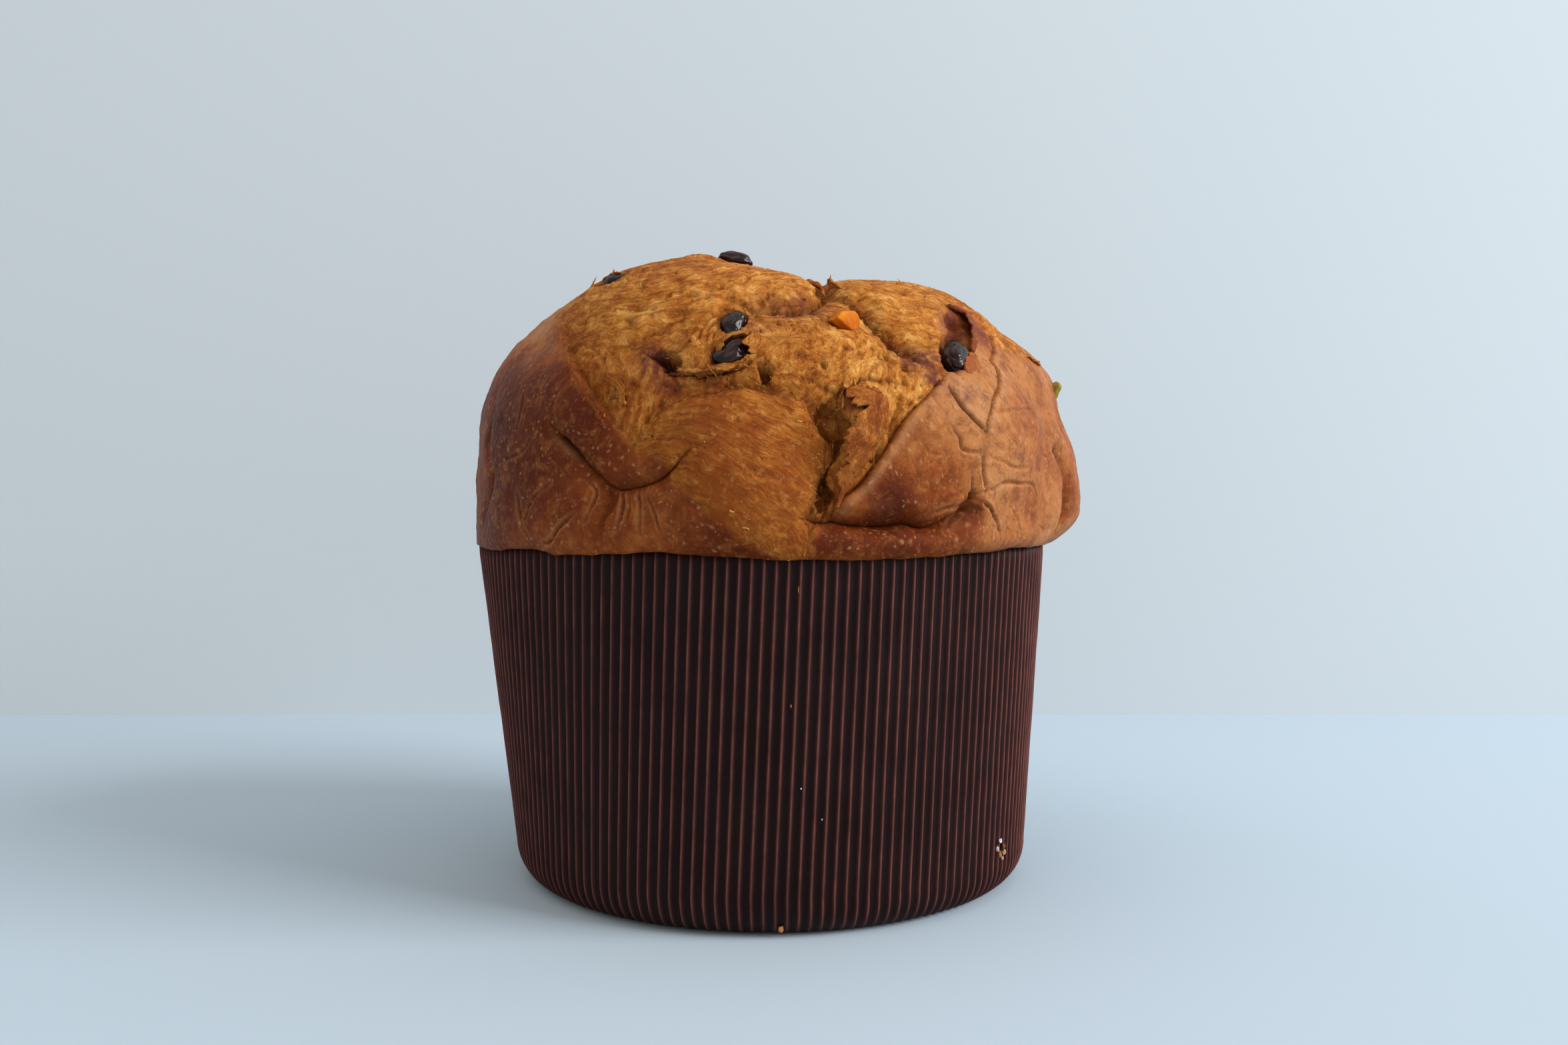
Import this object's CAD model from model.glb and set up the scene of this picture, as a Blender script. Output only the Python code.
"""A tall panettone in its fluted paper case, dressed for rendering."""

import math

import bmesh
import bpy
import numpy as np
from mathutils import Matrix, Vector, noise


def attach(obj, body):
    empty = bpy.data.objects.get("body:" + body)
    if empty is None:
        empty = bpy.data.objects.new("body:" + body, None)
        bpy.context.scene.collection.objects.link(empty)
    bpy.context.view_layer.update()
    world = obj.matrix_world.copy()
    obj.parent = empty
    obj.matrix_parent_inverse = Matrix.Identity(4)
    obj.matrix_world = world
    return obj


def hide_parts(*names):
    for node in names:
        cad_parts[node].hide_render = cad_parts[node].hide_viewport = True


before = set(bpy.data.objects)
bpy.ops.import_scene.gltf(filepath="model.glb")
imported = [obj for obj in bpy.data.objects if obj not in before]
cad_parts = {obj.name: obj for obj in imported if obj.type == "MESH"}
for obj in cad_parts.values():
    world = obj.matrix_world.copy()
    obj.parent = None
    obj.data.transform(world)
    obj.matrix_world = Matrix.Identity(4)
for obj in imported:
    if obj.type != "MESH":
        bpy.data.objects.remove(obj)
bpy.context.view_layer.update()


# ---------------------------------------------------------------------------------------------------
# The paper case. A tall cup of waxed brown baking paper: a fluted outer ply pressed onto a smooth
# liner. The flutes slant a little, run straight again below the kink at the foot, and curl in under
# the base. The wall is turned round the axis and a node tree then presses the flutes into it.

CASE_HEIGHT = 0.1100
RIM_RADIUS = 0.0953
WALL_RADIUS = 0.0861  # at the top of the foot
FOOT_RADIUS = 0.0775
FOOT_HEIGHT = 0.0115
PAPER_THICKNESS = 0.0008
CASE_LEAN = -0.0034  # sideways, from base to rim
FLUTES = 168
FLUTE_DEPTH = 0.0011
FLUTE_SLANT = math.radians(4.3)  # at the front, to the right going up
FLUTE_FAN = 0.098  # how much less they slant towards the right, and more towards the left
FLUTES_EVEN_AT = 0.059  # the height where they are evenly spaced
FLUTE_TURN = math.radians(-0.87)
CREST_SHARPNESS = 2.6  # 1 is a plain wave, and more is a thin ridge
RIM_EDGE = 0.0006  # the rows of the wall are counted from this far under the rim
STEPS_PER_FLUTE = 8
WALL_ROWS = 30
FOOT_ROWS = 9


def feed(socket, value):
    """Links a socket to another, or sets it to a number, a vector or a colour."""
    if isinstance(value, bpy.types.NodeSocket):
        socket.id_data.links.new(value, socket)
    else:
        socket.default_value = (*value, 1.0) if socket.type == "RGBA" and len(value) == 3 else value


def wire(made, **inputs):
    """Feeds a node's inputs by name, with _ for a space, or by number, as in i0."""
    for name, value in inputs.items():
        numbered = name[0] == "i" and name[1:].isdigit()
        feed(made.inputs[int(name[1:]) if numbered else name.replace("_", " ")], value)
    return made


def node(tree, kind, settings=None, **inputs):
    """Adds a node, sets its options and feeds its inputs."""
    made = tree.nodes.new(kind)
    for option, value in (settings or {}).items():
        setattr(made, option, value)
    return wire(made, **inputs)


def maths(operation, *values):
    """A Math node on sockets and numbers, in the tree of its first socket."""
    tree = next(value.id_data for value in values if isinstance(value, bpy.types.NodeSocket))
    made = node(tree, "ShaderNodeMath", {"operation": operation})
    for socket, value in zip(made.inputs, values):
        feed(socket, value)
    return made.outputs[0]


def times(first, second):
    return maths("MULTIPLY", first, second)


def times_plus(first, second, third):
    return maths("MULTIPLY_ADD", first, second, third)


def ramp(value, *stops):
    """A Color Ramp from (position, colour) stops."""
    made = node(value.id_data, "ShaderNodeValToRGB", Fac=value)
    points = made.color_ramp.elements
    while len(points) < len(stops):
        points.new(0.5)
    for point, (position, colour) in zip(points, stops):
        point.position = position
        point.color = (*colour, 1.0)
    return made.outputs["Color"]


def blend(share, first, second):
    """Mixes two colours by a share from 0 to 1."""
    return node(
        share.id_data, "ShaderNodeMix", {"data_type": "RGBA"}, i0=share, i6=first, i7=second
    ).outputs[2]


def noise_at(where, scale, detail, roughness=0.5, distortion=0.0):
    inputs = {
        "Vector": where, "Scale": scale, "Detail": detail, "Roughness": roughness, "Distortion": distortion
    }
    return node(where.id_data, "ShaderNodeTexNoise", **inputs).outputs["Fac"]


def painted(tree, name, output="Fac"):
    """What a mesh attribute says."""
    return node(tree, "ShaderNodeAttribute", {"attribute_name": name}).outputs[output]


def bumped(height, strength, distance):
    return node(
        height.id_data, "ShaderNodeBump", Strength=strength, Distance=distance, Height=height
    ).outputs["Normal"]


def new_material(name):
    """A material, its tree and its shader."""
    made = bpy.data.materials.new(name)
    made.use_nodes = True
    return made, made.node_tree, made.node_tree.nodes["Principled BSDF"]


def object_place(tree):
    return node(tree, "ShaderNodeTexCoord").outputs["Object"]


def link_piece(name, mesh, *finishes):
    piece = bpy.data.objects.new(name, mesh)
    bpy.context.scene.collection.objects.link(piece)
    for finish in finishes:
        mesh.materials.append(finish)
    return piece


def modelled(piece):
    """Turns a piece's modifiers into plain mesh."""
    bpy.context.view_layer.update()
    evaluated = piece.evaluated_get(bpy.context.evaluated_depsgraph_get())
    mesh = bpy.data.meshes.new_from_object(evaluated)
    piece.modifiers.clear()
    piece.data = mesh
    return mesh


def store(mesh, name, values):
    """Stores a number or a vector at each of a mesh's points."""
    values = np.asarray(values, np.float32)
    kind, field = ("FLOAT", "value") if values.ndim == 1 else ("FLOAT_VECTOR", "vector")
    if name not in mesh.attributes:
        mesh.attributes.new(name, kind, "POINT")
    mesh.attributes[name].data.foreach_set(field, values.ravel())


def point_outwards(shape, mesh):
    """Writes a bmesh to a mesh with its faces turned outwards."""
    bmesh.ops.recalc_face_normals(shape, faces=shape.faces)
    shape.to_mesh(mesh)
    shape.free()


# Dark brown, redder and lighter on the crests, mottled, and duller in places.
case_paper, tree, shader = new_material("waxed_case_paper")
place = object_place(tree)
mottle = noise_at(place, 140.0, 5.0, 0.62)
stains = noise_at(place, 38.0, 4.0, 0.55)
paper = ramp(
    painted(tree, "crest"), (0.0, (0.012, 0.0042, 0.0042)), (0.25, (0.026, 0.0068, 0.0058)),
    (0.70, (0.058, 0.0155, 0.0125)), (1.0, (0.190, 0.067, 0.055)),
)
paper = blend(ramp(mottle, (0.35, (0, 0, 0)), (0.75, (0.55, 0.55, 0.55))), paper, (0.012, 0.0045, 0.0045))
paper = blend(ramp(stains, (0.56, (0, 0, 0)), (0.70, (0.3, 0.3, 0.3))), paper, (0.009, 0.0040, 0.0045))
pulp = bumped(noise_at(place, 2400.0, 3.0), 0.25, 0.0001)
wire(shader, Base_Color=paper, Roughness=times_plus(stains, 0.30, 0.36), Specular_IOR_Level=0.10, Normal=pulp)


WHOLE_NUMBERS = ("Flutes", "Seed")  # node tree inputs that take no fractions


def node_tree(name, *inputs):
    """A Geometry Nodes tree with inputs for numbers, and its input sockets."""
    tree = bpy.data.node_groups.new(name, "GeometryNodeTree")
    tree.interface.new_socket("Geometry", in_out="INPUT", socket_type="NodeSocketGeometry")
    for label in inputs:
        kind = "NodeSocketInt" if label in WHOLE_NUMBERS else "NodeSocketFloat"
        tree.interface.new_socket(label, in_out="INPUT", socket_type=kind)
    tree.interface.new_socket("Geometry", in_out="OUTPUT", socket_type="NodeSocketGeometry")
    return tree, node(tree, "NodeGroupInput").outputs


def end_tree(tree, geometry, finish):
    """Ends a tree in plain mesh of one material."""
    real = node(tree, "GeometryNodeRealizeInstances", Geometry=geometry)
    coated = node(tree, "GeometryNodeSetMaterial", Geometry=real.outputs[0], Material=finish)
    node(tree, "NodeGroupOutput", Geometry=coated.outputs[0])
    return tree


def stored(tree, name):
    """What a node tree reads from a mesh attribute."""
    return node(tree, "GeometryNodeInputNamedAttribute", {"data_type": "FLOAT"}, Name=name).outputs[0]


def flute_tree(finish):
    """Presses flutes into a turned wall. The wall's fluted attribute says how deep they are there."""
    tree, given = node_tree(
        "press_flutes", "Flutes", "Depth", "Slant", "Fan", "Even at", "Turn", "Height", "Foot height",
        "Side lean", "Wobble",
    )
    at = node(tree, "GeometryNodeInputPosition").outputs[0]
    x, y, z = node(tree, "ShaderNodeSeparateXYZ", Vector=at).outputs
    azimuth = maths("ARCTAN2", y, x)
    radius = maths("SQRT", maths("ADD", times(x, x), times(y, y)))
    share = maths("DIVIDE", z, given["Height"])
    rise = maths("SUBTRACT", maths("MAXIMUM", z, given["Foot height"]), given["Even at"])
    rise = maths("DIVIDE", rise, maths("MAXIMUM", radius, 0.05))
    slant = times_plus(maths("COSINE", azimuth), times(given["Fan"], -1.0), given["Slant"])

    # Pressed paper is never quite even: flutes wander, and some stand deeper than others.
    wander, uneven = noise_at(at, 26.0, 2.0), noise_at(at, 60.0, 3.0)
    wave = times_plus(maths("COSINE", times(azimuth, given["Flutes"])), 0.5, 0.5)
    crest = maths("POWER", wave, CREST_SHARPNESS)
    reach = stored(tree, "fluted")
    depth = times(times(given["Depth"], reach), maths("ADD", uneven, 0.5))
    radius = times_plus(maths("SUBTRACT", crest, 0.5), depth, radius)
    stray = maths("DIVIDE", times(maths("SUBTRACT", wander, 0.5), given["Wobble"]), given["Flutes"])
    azimuth = times_plus(rise, slant, maths("ADD", azimuth, maths("ADD", stray, given["Turn"])))
    x = times(radius, maths("COSINE", azimuth))
    x = times_plus(share, given["Side lean"], x)
    y = times(radius, maths("SINE", azimuth))
    moved = node(tree, "ShaderNodeCombineXYZ", X=x, Y=y, Z=z).outputs[0]
    shown = {"Geometry": given["Geometry"], "Name": "crest", "Value": times(crest, reach)}
    marked = node(tree, "GeometryNodeStoreNamedAttribute", {"data_type": "FLOAT", "domain": "POINT"}, **shown)
    placed = node(tree, "GeometryNodeSetPosition", Geometry=marked.outputs[0], Position=moved)
    return end_tree(tree, placed.outputs[0], finish)


def set_inputs(modifier, **values):
    """Sets a node modifier's inputs, named as in its tree, by their identifiers."""
    for item in modifier.node_group.interface.items_tree:
        if item.item_type == "SOCKET" and item.in_out == "INPUT" and item.name.replace(" ", "_") in values:
            modifier[item.identifier] = values[item.name.replace(" ", "_")]


# The wall's section, as radius, height and how deep the flutes are pressed there.
liner = FLUTE_DEPTH / 2 + PAPER_THICKNESS
outside = [(RIM_RADIUS - liner / 2, CASE_HEIGHT, 0.3), (RIM_RADIUS - 0.0001, CASE_HEIGHT - 0.0002, 0.8)]
wall_top = CASE_HEIGHT - RIM_EDGE
for row in range(1, WALL_ROWS + 1):
    share = row / WALL_ROWS
    outside.append(
        (RIM_RADIUS + (WALL_RADIUS - RIM_RADIUS) * share, wall_top - (wall_top - FOOT_HEIGHT) * share, 1.0)
    )
for row in range(1, FOOT_ROWS + 1):
    angle = math.pi / 2 * row / FOOT_ROWS
    radius = FOOT_RADIUS + (WALL_RADIUS - FOOT_RADIUS) * math.cos(angle)
    outside.append((radius, FOOT_HEIGHT * (1 - math.sin(angle)), 1.0 - 0.75 * (row / FOOT_ROWS) ** 3))
underside = [(FOOT_RADIUS - 0.004, 0.0, 0.0), (0.030, 0.0, 0.0), (0.0, 0.0, 0.0)]
inside = [
    (0.0, PAPER_THICKNESS, 0.0),
    (FOOT_RADIUS - liner, PAPER_THICKNESS, 0.0),
    (WALL_RADIUS - liner - 0.002, FOOT_HEIGHT * 0.35, 0.0),
    (WALL_RADIUS - liner, FOOT_HEIGHT, 0.0),
    (RIM_RADIUS - liner, CASE_HEIGHT, 0.0),
]
points = [inside[-1], *outside, *underside, *inside[:-1]]
axis = points.index(underside[-1])  # no edge joins the two ends on the axis
ring = [(i, (i + 1) % len(points)) for i in range(len(points)) if i != axis]
mesh = bpy.data.meshes.new("paper_cup")
mesh.from_pydata([(radius, 0.0, height) for radius, height, _ in points], ring, [])
store(mesh, "fluted", [deep for _, _, deep in points])
paper_cup = link_piece("paper_cup", mesh)
screw = paper_cup.modifiers.new("Turn", "SCREW")
screw.steps = screw.render_steps = FLUTES * STEPS_PER_FLUTE
screw.use_merge_vertices = True
screw.merge_threshold = 1e-6
press = paper_cup.modifiers.new("Press", "NODES")
press.node_group = flute_tree(case_paper)
set_inputs(
    press,
    Flutes=FLUTES,
    Depth=FLUTE_DEPTH,
    Slant=FLUTE_SLANT,
    Fan=FLUTE_FAN,
    Even_at=FLUTES_EVEN_AT,
    Turn=FLUTE_TURN,
    Height=CASE_HEIGHT,
    Foot_height=FOOT_HEIGHT,
    Side_lean=CASE_LEAN,
    Wobble=0.6,
)
mesh = modelled(paper_cup)
shape = bmesh.new()
shape.from_mesh(mesh)
bmesh.ops.remove_doubles(shape, verts=shape.verts, dist=2e-6)
point_outwards(shape, mesh)
mesh.shade_smooth()
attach(paper_cup, "root")
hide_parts("paper_case")


# ---------------------------------------------------------------------------------------------------
# Crumbs on the case. A few dry crumbs and grains of sugar stuck to the waxed paper by the loaf's oil,
# most of them low on the right.

CASE_CRUMBS = [
    # azimuth, height, length up the case and width in mm, and tone: 0 is browned, 0.4 golden, 1 white
    (2.4, 2.6, 1.9, 1.5, 0.40), (5.1, 67.1, 1.0, 0.6, 0.10), (6.6, 43.7, 0.5, 0.4, 0.85),
    (10.3, 34.7, 0.5, 0.4, 0.85), (6.8, 99.4, 1.8, 0.3, 0.20),
    (55.2, 18.8, 1.3, 1.6, 0.85), (54.0, 16.6, 1.8, 1.3, 0.72), (55.4, 14.6, 2.0, 1.6, 0.22),
    (57.4, 14.6, 1.7, 1.5, 0.45), (57.0, 16.6, 1.8, 1.4, 0.10),
    (56.6, 12.9, 1.4, 1.2, 0.55),
    (-86.0, 38.2, 3.2, 1.6, 0.20),
]

crumb_finish, tree, shader = new_material("dry_crumbs")
crumb_tint = ramp(
    painted(tree, "tone"), (0.0, (0.120, 0.026, 0.010)), (0.4, (0.480, 0.215, 0.080)),
    (0.75, (0.500, 0.420, 0.400)), (1.0, (0.720, 0.780, 0.860)),
)
wire(shader, Base_Color=crumb_tint, Roughness=0.7, Specular_IOR_Level=0.1)

shape = bmesh.new()
tones = []
for index, (az, height, length, width, tone) in enumerate(CASE_CRUMBS):
    made = bmesh.ops.create_icosphere(shape, subdivisions=2, radius=0.5)["verts"]
    turn_to = math.radians(az)
    level = height * 0.001
    if level > FOOT_HEIGHT:
        radius = (
            WALL_RADIUS + (RIM_RADIUS - WALL_RADIUS) * (level - FOOT_HEIGHT) / (CASE_HEIGHT - FOOT_HEIGHT)
        )
    else:
        radius = FOOT_RADIUS + (WALL_RADIUS - FOOT_RADIUS) * math.cos(math.asin(1 - level / FOOT_HEIGHT))
    radius += FLUTE_DEPTH / 2
    centre = Vector(
        (radius * math.sin(turn_to) + CASE_LEAN * level / CASE_HEIGHT, -radius * math.cos(turn_to), level)
    )
    for vertex in made:
        lump = 1 + 0.5 * noise.noise(vertex.co * 3.1 + Vector((index, 0.4, 0.2)))
        local = (
            Vector((vertex.co.x * width, vertex.co.y * min(width, 1.2) * 0.8, vertex.co.z * length)) * lump
            * 0.001
        )
        vertex.co = centre + Matrix.Rotation(turn_to, 3, "Z") @ local
    tones += [tone] * len(made)
mesh = bpy.data.meshes.new("case_crumbs")
point_outwards(shape, mesh)
store(mesh, "tone", tones)
case_crumbs = link_piece("case_crumbs", mesh, crumb_finish)
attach(case_crumbs, "root")


# ---------------------------------------------------------------------------------------------------
# The loaf. One body of baked dough: a core that fills the case, a lip that hangs over the rim, and a
# lobed crown. Where the top was scored and peeled back it has torn open, so that smooth brown crust
# gives way to pale, fibrous crumb. Forms on the crown are in mm, azimuth and latitude in degrees.

MM = 0.001
GAP = 0.0003
CROWN_RADIUS = 98.8
CROWN_TOP = 189.5  # of the plain dome, before its lobes
WIDEST_LEVEL = 122.0
LIP_BOTTOM = 108.3
LIP_INSIDE = RIM_RADIUS / MM + 1.2
DOME_POWER = 3.0  # 2 is an ellipse, and more is squarer
CROWN_LEAN = -1.0
LIP_DEGREES = 10.0
LIP_SAG = 1.0
LIP_WAVES = 5

# Lobes: azimuth, latitude, height, and half-widths across and along.
LOBES = {
    "left_dome": (-32, 58, 15.0, 43, 31),
    "right_dome": (42, 52, 10.5, 34, 27),
    "middle_dome": (4, 27, 4.5, 17, 10),
    "stretched_belly": (-7, 4, 7.0, 14, 15),
    "left_flap": (-44, 17, 2.5, 21, 17),
    "left_apron": (-40, -4, 3.0, 26, 9),
    "right_flap": (36, 12, 6.0, 25, 17),
    "right_roll": (30, -7, 4.5, 34, 7),
    "right_shoulder": (84, 6, 5.0, 25, 20),
    "right_high": (86, 31, 5.5, 30, 16),
    "back_right": (132, 26, 6.0, 34, 26),
    "back": (176, 44, 9.0, 30, 28),
    "back_low": (172, 2, 5.0, 26, 14),
    "back_left": (-126, 30, 7.0, 32, 26),
    "left_side": (-90, 29, 5.5, 34, 17),
}
LOBE_SOFTNESS = 1.0

# Broad swellings and sinkings between the lobes: azimuth, latitude, reach and height.
SWELLS = [
    (-78, 25, 9, -2.2), (-70, 36, 7, 2.4), (0, 62, 13, -3.4), (28, 60, 13, -2.6), (40, 54, 8, -0.8),
    (83, 4, 9, 1.0), (80, 22, 5, 1.0), (80, -1, 6, 1.4), (-24, 57, 4, 1.8), (-66, 39, 6, -1.3),
    (-58, 43, 5, -0.8), (74, 31, 4, -1.2), (80, 16, 4, -1.4),
]

# Folds and tears: the path, then the depth, the half-width, how far the left side stands proud, how
# far the proud side hangs over the other, and how ragged its edge is.
FOLDS = {
    "flap_edge": (
        [(-54, 37), (-46, 32), (-38, 25), (-30, 18), (-25, 13), (-19, 8)], 1.2, 1.6, -1.8, 0.0, 0.7
    ),
    "flap_crease": (
        [(-38, 13), (-34, 11), (-31, 8.5), (-28, 6), (-24.5, 3.8), (-21, 4), (-16, 5), (-12, 8)], 6.0, 2.2,
        1.8, 2.0, 0.2,
    ),
    "flap_pocket": ([(-37, 12.5), (-34, 10.5), (-31, 8.3)], 4.0, 1.4, 0.0, 0.0, 0.3),
    "apron_wrinkle": ([(-26, 3), (-25, 1), (-27, -2), (-27, -6)], 2.5, 1.8, 0.0, 0.0, 0.3),
    "left_crease": ([(-60, 17), (-60, 10), (-57, 5), (-62, -2)], 2.5, 3.0, 0.8, 0.6, 0.3),
    "belly_edge": (
        [
            (7, -8), (7, -1), (8, 1.5), (9.2, 4.5), (11, 7), (11, 9), (10, 10.5), (8.5, 12), (7.5, 14),
            (6.5, 17),
        ],
        3.0, 2.0, 1.6, 0.8, 0.4,
    ),
    "belly_top": (
        [
            (7.5, 14.5), (5, 17), (1, 17.8), (-3, 18.6), (-7, 18.2), (-11, 17.7), (-14.5, 16.5), (-17, 15.5),
            (-18, 13), (-18, 11),
        ],
        1.6, 2.4, 1.1, 0.0, 0.7,
    ),
    "hood_outer": (
        [(-12, 27), (-12.2, 30), (-10.4, 33), (-8, 35.5), (-5.5, 37), (-3, 35.8)], 1.1, 0.9, 0.8, 0.5, 0.2
    ),
    "hood_middle": (
        [(-10.8, 26), (-11, 29.5), (-9.6, 32), (-7.8, 34.2), (-5.6, 35.4)], 1.0, 0.8, 0.6, 0.4, 0.15
    ),
    "hood_inner": ([(-9.4, 26), (-9.5, 28.5), (-8.3, 31.4)], 0.8, 0.7, 0.4, 0.3, 0.1),
    "torn_lip": (
        [
            (9.5, -1), (11, 0.5), (12.3, 1.6), (11.4, 3), (11, 4.5), (11.6, 6.2), (12.8, 7.8), (13.4, 9.3),
            (14.4, 10.4), (14.6, 12.6), (14.3, 13.8), (13.3, 15), (12.4, 16.6), (12.6, 18.2),
        ],
        2.4, 1.6, -3.2, 2.2, 0.7,
    ),
    "raisin_ledge": (
        [
            (-20.5, 25), (-18, 23.4), (-16, 22), (-12.5, 22), (-11, 21.4), (-9, 21.8), (-6.5, 21.8),
            (-4, 22.2), (-1.2, 23.6),
        ],
        3.4, 1.3, 1.6, 1.8, 0.7,
    ),
    "roll_crease": (
        [
            (6.5, -1.4), (9.5, -2), (11.5, -1.7), (15, -2), (19.5, -2.1), (23.5, -1.7), (27.5, -2.3),
            (31.5, -1.2), (33.5, 0), (34.6, 1.6),
        ],
        10.0, 2.8, 1.6, 1.6, 0.15,
    ),
    "right_tear": (
        [
            (9.5, -1.8), (11, -1), (12.5, 0.5), (14.5, 2.5), (16, 4), (17.5, 6), (19, 8), (21, 11),
            (22.5, 13), (24.5, 15), (26.5, 16.5), (30.5, 20), (33, 22),
        ],
        1.7, 0.9, -2.2, 1.0, 0.12,
    ),
    "side_crease": (
        [(65, 10.5), (67.5, 9), (69.5, 7), (70, 5), (70, 2.5), (70, -0.5), (69.5, -4), (68, -8)], 8.0, 2.6,
        0.6, 1.2, 0.2,
    ),
    "flap_wrinkle": (
        [
            (51.5, 32), (51.5, 28.5), (48.5, 26), (46.5, 23), (44, 20), (40.5, 17), (39, 15), (37.5, 13),
            (36.5, 9.5),
        ],
        1.5, 0.6, 0.5, 0.7, 0.15,
    ),
    "tip_wrinkle": ([(31, 19), (33, 15.5), (35, 13.4), (37.3, 11.6)], 1.9, 0.6, 0.6, 0.9, 0.08),
    "top_valley": ([(17, 60), (16, 46), (10, 38), (0, 36), (-7, 36)], 6.0, 4.5, 0.0, 0.0, 1.0),
    "right_valley": ([(16, 44), (20, 36), (25, 28), (29, 24)], 4.0, 4.0, 0.0, 0.0, 1.0),
    "lip_groove": ([(23, 17.5), (21.4, 15.4), (20.5, 13), (20, 10.6)], 1.6, 1.1, 0.0, 0.0, 0.5),
    "ledge": ([(8.5, 19.4), (12, 18.2), (15, 19.8), (18, 20.4), (23.5, 19.4)], 1.4, 1.6, 0.9, 0.6, 0.8),
    "back_tear": ([(148, -6), (154, 10), (150, 24), (158, 40), (176, 54)], 5.5, 4.2, 2.4, 2.4, 1.0),
    "back_crease": ([(-112, -7), (-104, 4), (-106, 17)], 5.5, 3.6, 1.2, 1.6, 0.3),
}
FOLD_REACH = 9.0

# Fine creases, where crust has buckled: the path, then the depth and the half-width.
CREASES = [
    ([(-24, 3), (-23, 0.5), (-24, -3)], 1.7, 0.9),
    ([(-20.5, 3.5), (-20, 0.5), (-20, -4)], 1.5, 0.9),
    ([(-18.5, 2), (-17, -1), (-16, -4)], 1.0, 0.8),
    ([(-29.5, 4), (-28, 2), (-30, -2)], 1.5, 0.8),
    ([(-22, 2.5), (-21.8, 0), (-22.4, -2)], 0.9, 0.6),
    ([(-32, -1), (-35, -2.5), (-37, -4.5), (-40, -7)], 2.0, 1.0),
    ([(-48, 21), (-47, 16), (-47.5, 12)], 0.7, 1.2),
    ([(-52, 35), (-55, 31), (-51, 25)], 0.7, 1.6),
    ([(-46.5, 3), (-45, -1.5), (-43, -6)], 0.9, 1.1),
    ([(-72, 8), (-70, 2), (-73, -5)], 1.0, 1.3),
    ([(29.5, 13.5), (31.5, 10.5), (32, 9), (34, 8.5), (37, 9)], 1.5, 0.8),
    ([(37, 9.6), (36, 6.5), (37.5, 3), (37, 2)], 1.9, 1.0),
    ([(36.5, 7.8), (40, 7.5), (44, 6.5), (48, 6.5), (50, 6.9)], 1.2, 0.7),
    ([(38.6, 15), (41.5, 15), (46.5, 16), (55, 17)], 1.0, 0.8),
    ([(34.6, 2), (39, 3), (42.5, 4), (47, 4), (52.5, 4), (54.5, 2.2)], 1.7, 0.8),
    ([(35.4, 1.2), (32.5, 0.5), (29.5, 0), (27, -0.6)], 1.4, 0.8),
    ([(35.6, 1.4), (38, 0.5), (40, -0.5), (42.5, -3.5), (43, -6)], 1.5, 0.9),
    ([(31, -3), (33.5, -1), (35, 0)], 1.4, 0.8),
    ([(33.8, 5.4), (34.2, 3.6), (34.8, 2)], 1.4, 0.7),
    ([(43, 9.4), (40.5, 9), (38.5, 10)], 0.7, 0.7),
    ([(56, 9.5), (60, 9), (63.5, 10)], 0.8, 0.8),
    ([(46, 21), (50, 19.5), (54, 20.5)], 0.5, 0.8),
    ([(24, 10), (27, 8), (31, 8)], 0.3, 0.8),
    ([(54, 3), (54.5, 1.5), (54, -0.5)], 1.1, 0.7),
    ([(29.5, 14), (27.6, 16.2), (28.6, 18)], 0.6, 0.6),
    ([(45, 28.5), (46.5, 25), (48.5, 23.2)], 0.5, 0.6),
    ([(40, 21), (39.4, 18.5), (40.4, 17)], 0.5, 0.6),
    ([(55, 27), (57.5, 22), (57, 18)], 0.35, 0.8),
    ([(44, 0.5), (48, -2), (50, -6)], 0.7, 0.8),
    ([(60, 3), (59, -2), (61, -6)], 0.6, 0.9),
    ([(27, 0.6), (30, 2), (33, 3.3)], -0.9, 0.9),
    ([(28, -0.4), (31, 1.1), (33.6, 1.7)], -0.8, 0.8),
    ([(36.4, 1.2), (38.2, 0.8), (40.4, -0.4), (42, -2)], -0.7, 0.8),
    ([(35.6, 2.4), (37, 2.9), (40, 4.2)], -0.6, 0.7),
    ([(-42, 12), (-46, 9), (-52, 8)], 0.6, 1.0),
    ([(-38, 4), (-42, 1), (-44, -3)], 0.8, 0.9),
    ([(-64, 24), (-62, 19), (-65, 13)], 0.6, 1.2),
    ([(-34, 24), (-38, 19), (-38.5, 15)], 0.5, 1.0),
    ([(80, 10), (84, 0), (82, -6)], 1.2, 1.4),
    ([(96, 14), (101, 6), (99, -5)], 1.5, 1.2),
    ([(118, 6), (126, 4), (136, 6)], 1.3, 1.1),
    ([(-140, 8), (-150, 5), (-160, 7)], 1.5, 1.1),
    ([(-128, 2), (-131, -3), (-129, -7)], 1.4, 1.1),
    ([(-94, 6), (-96, 0), (-93, -6)], 1.2, 1.2),
]

# Where the crust ends and torn crumb begins, once round the loaf.
CRUMB_EDGE = [
    (5, -10), (2, -7.5), (-4, -4), (-9, 0), (-14, 4), (-16, 7.5), (-21, 9), (-25, 13), (-30, 18), (-38, 25),
    (-54, 37), (-72, 44), (-95, 46), (-120, 43), (-142, 50), (-160, 42), (-176, 47), (168, 40), (160, 30),
    (155, 12), (149, 26), (140, 45), (120, 50), (102, 44), (88, 36), (72.5, 28.5), (64, 28.5), (54, 29.5),
    (51.5, 31), (49.5, 34), (47, 36.5), (42, 36.5), (38.5, 35), (36.4, 32), (36, 28), (35, 25), (30.5, 20),
    (24.5, 15), (21, 11), (17.5, 6), (14.5, 2.5), (11, -1), (8, -4), (8, -10),
]

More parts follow.
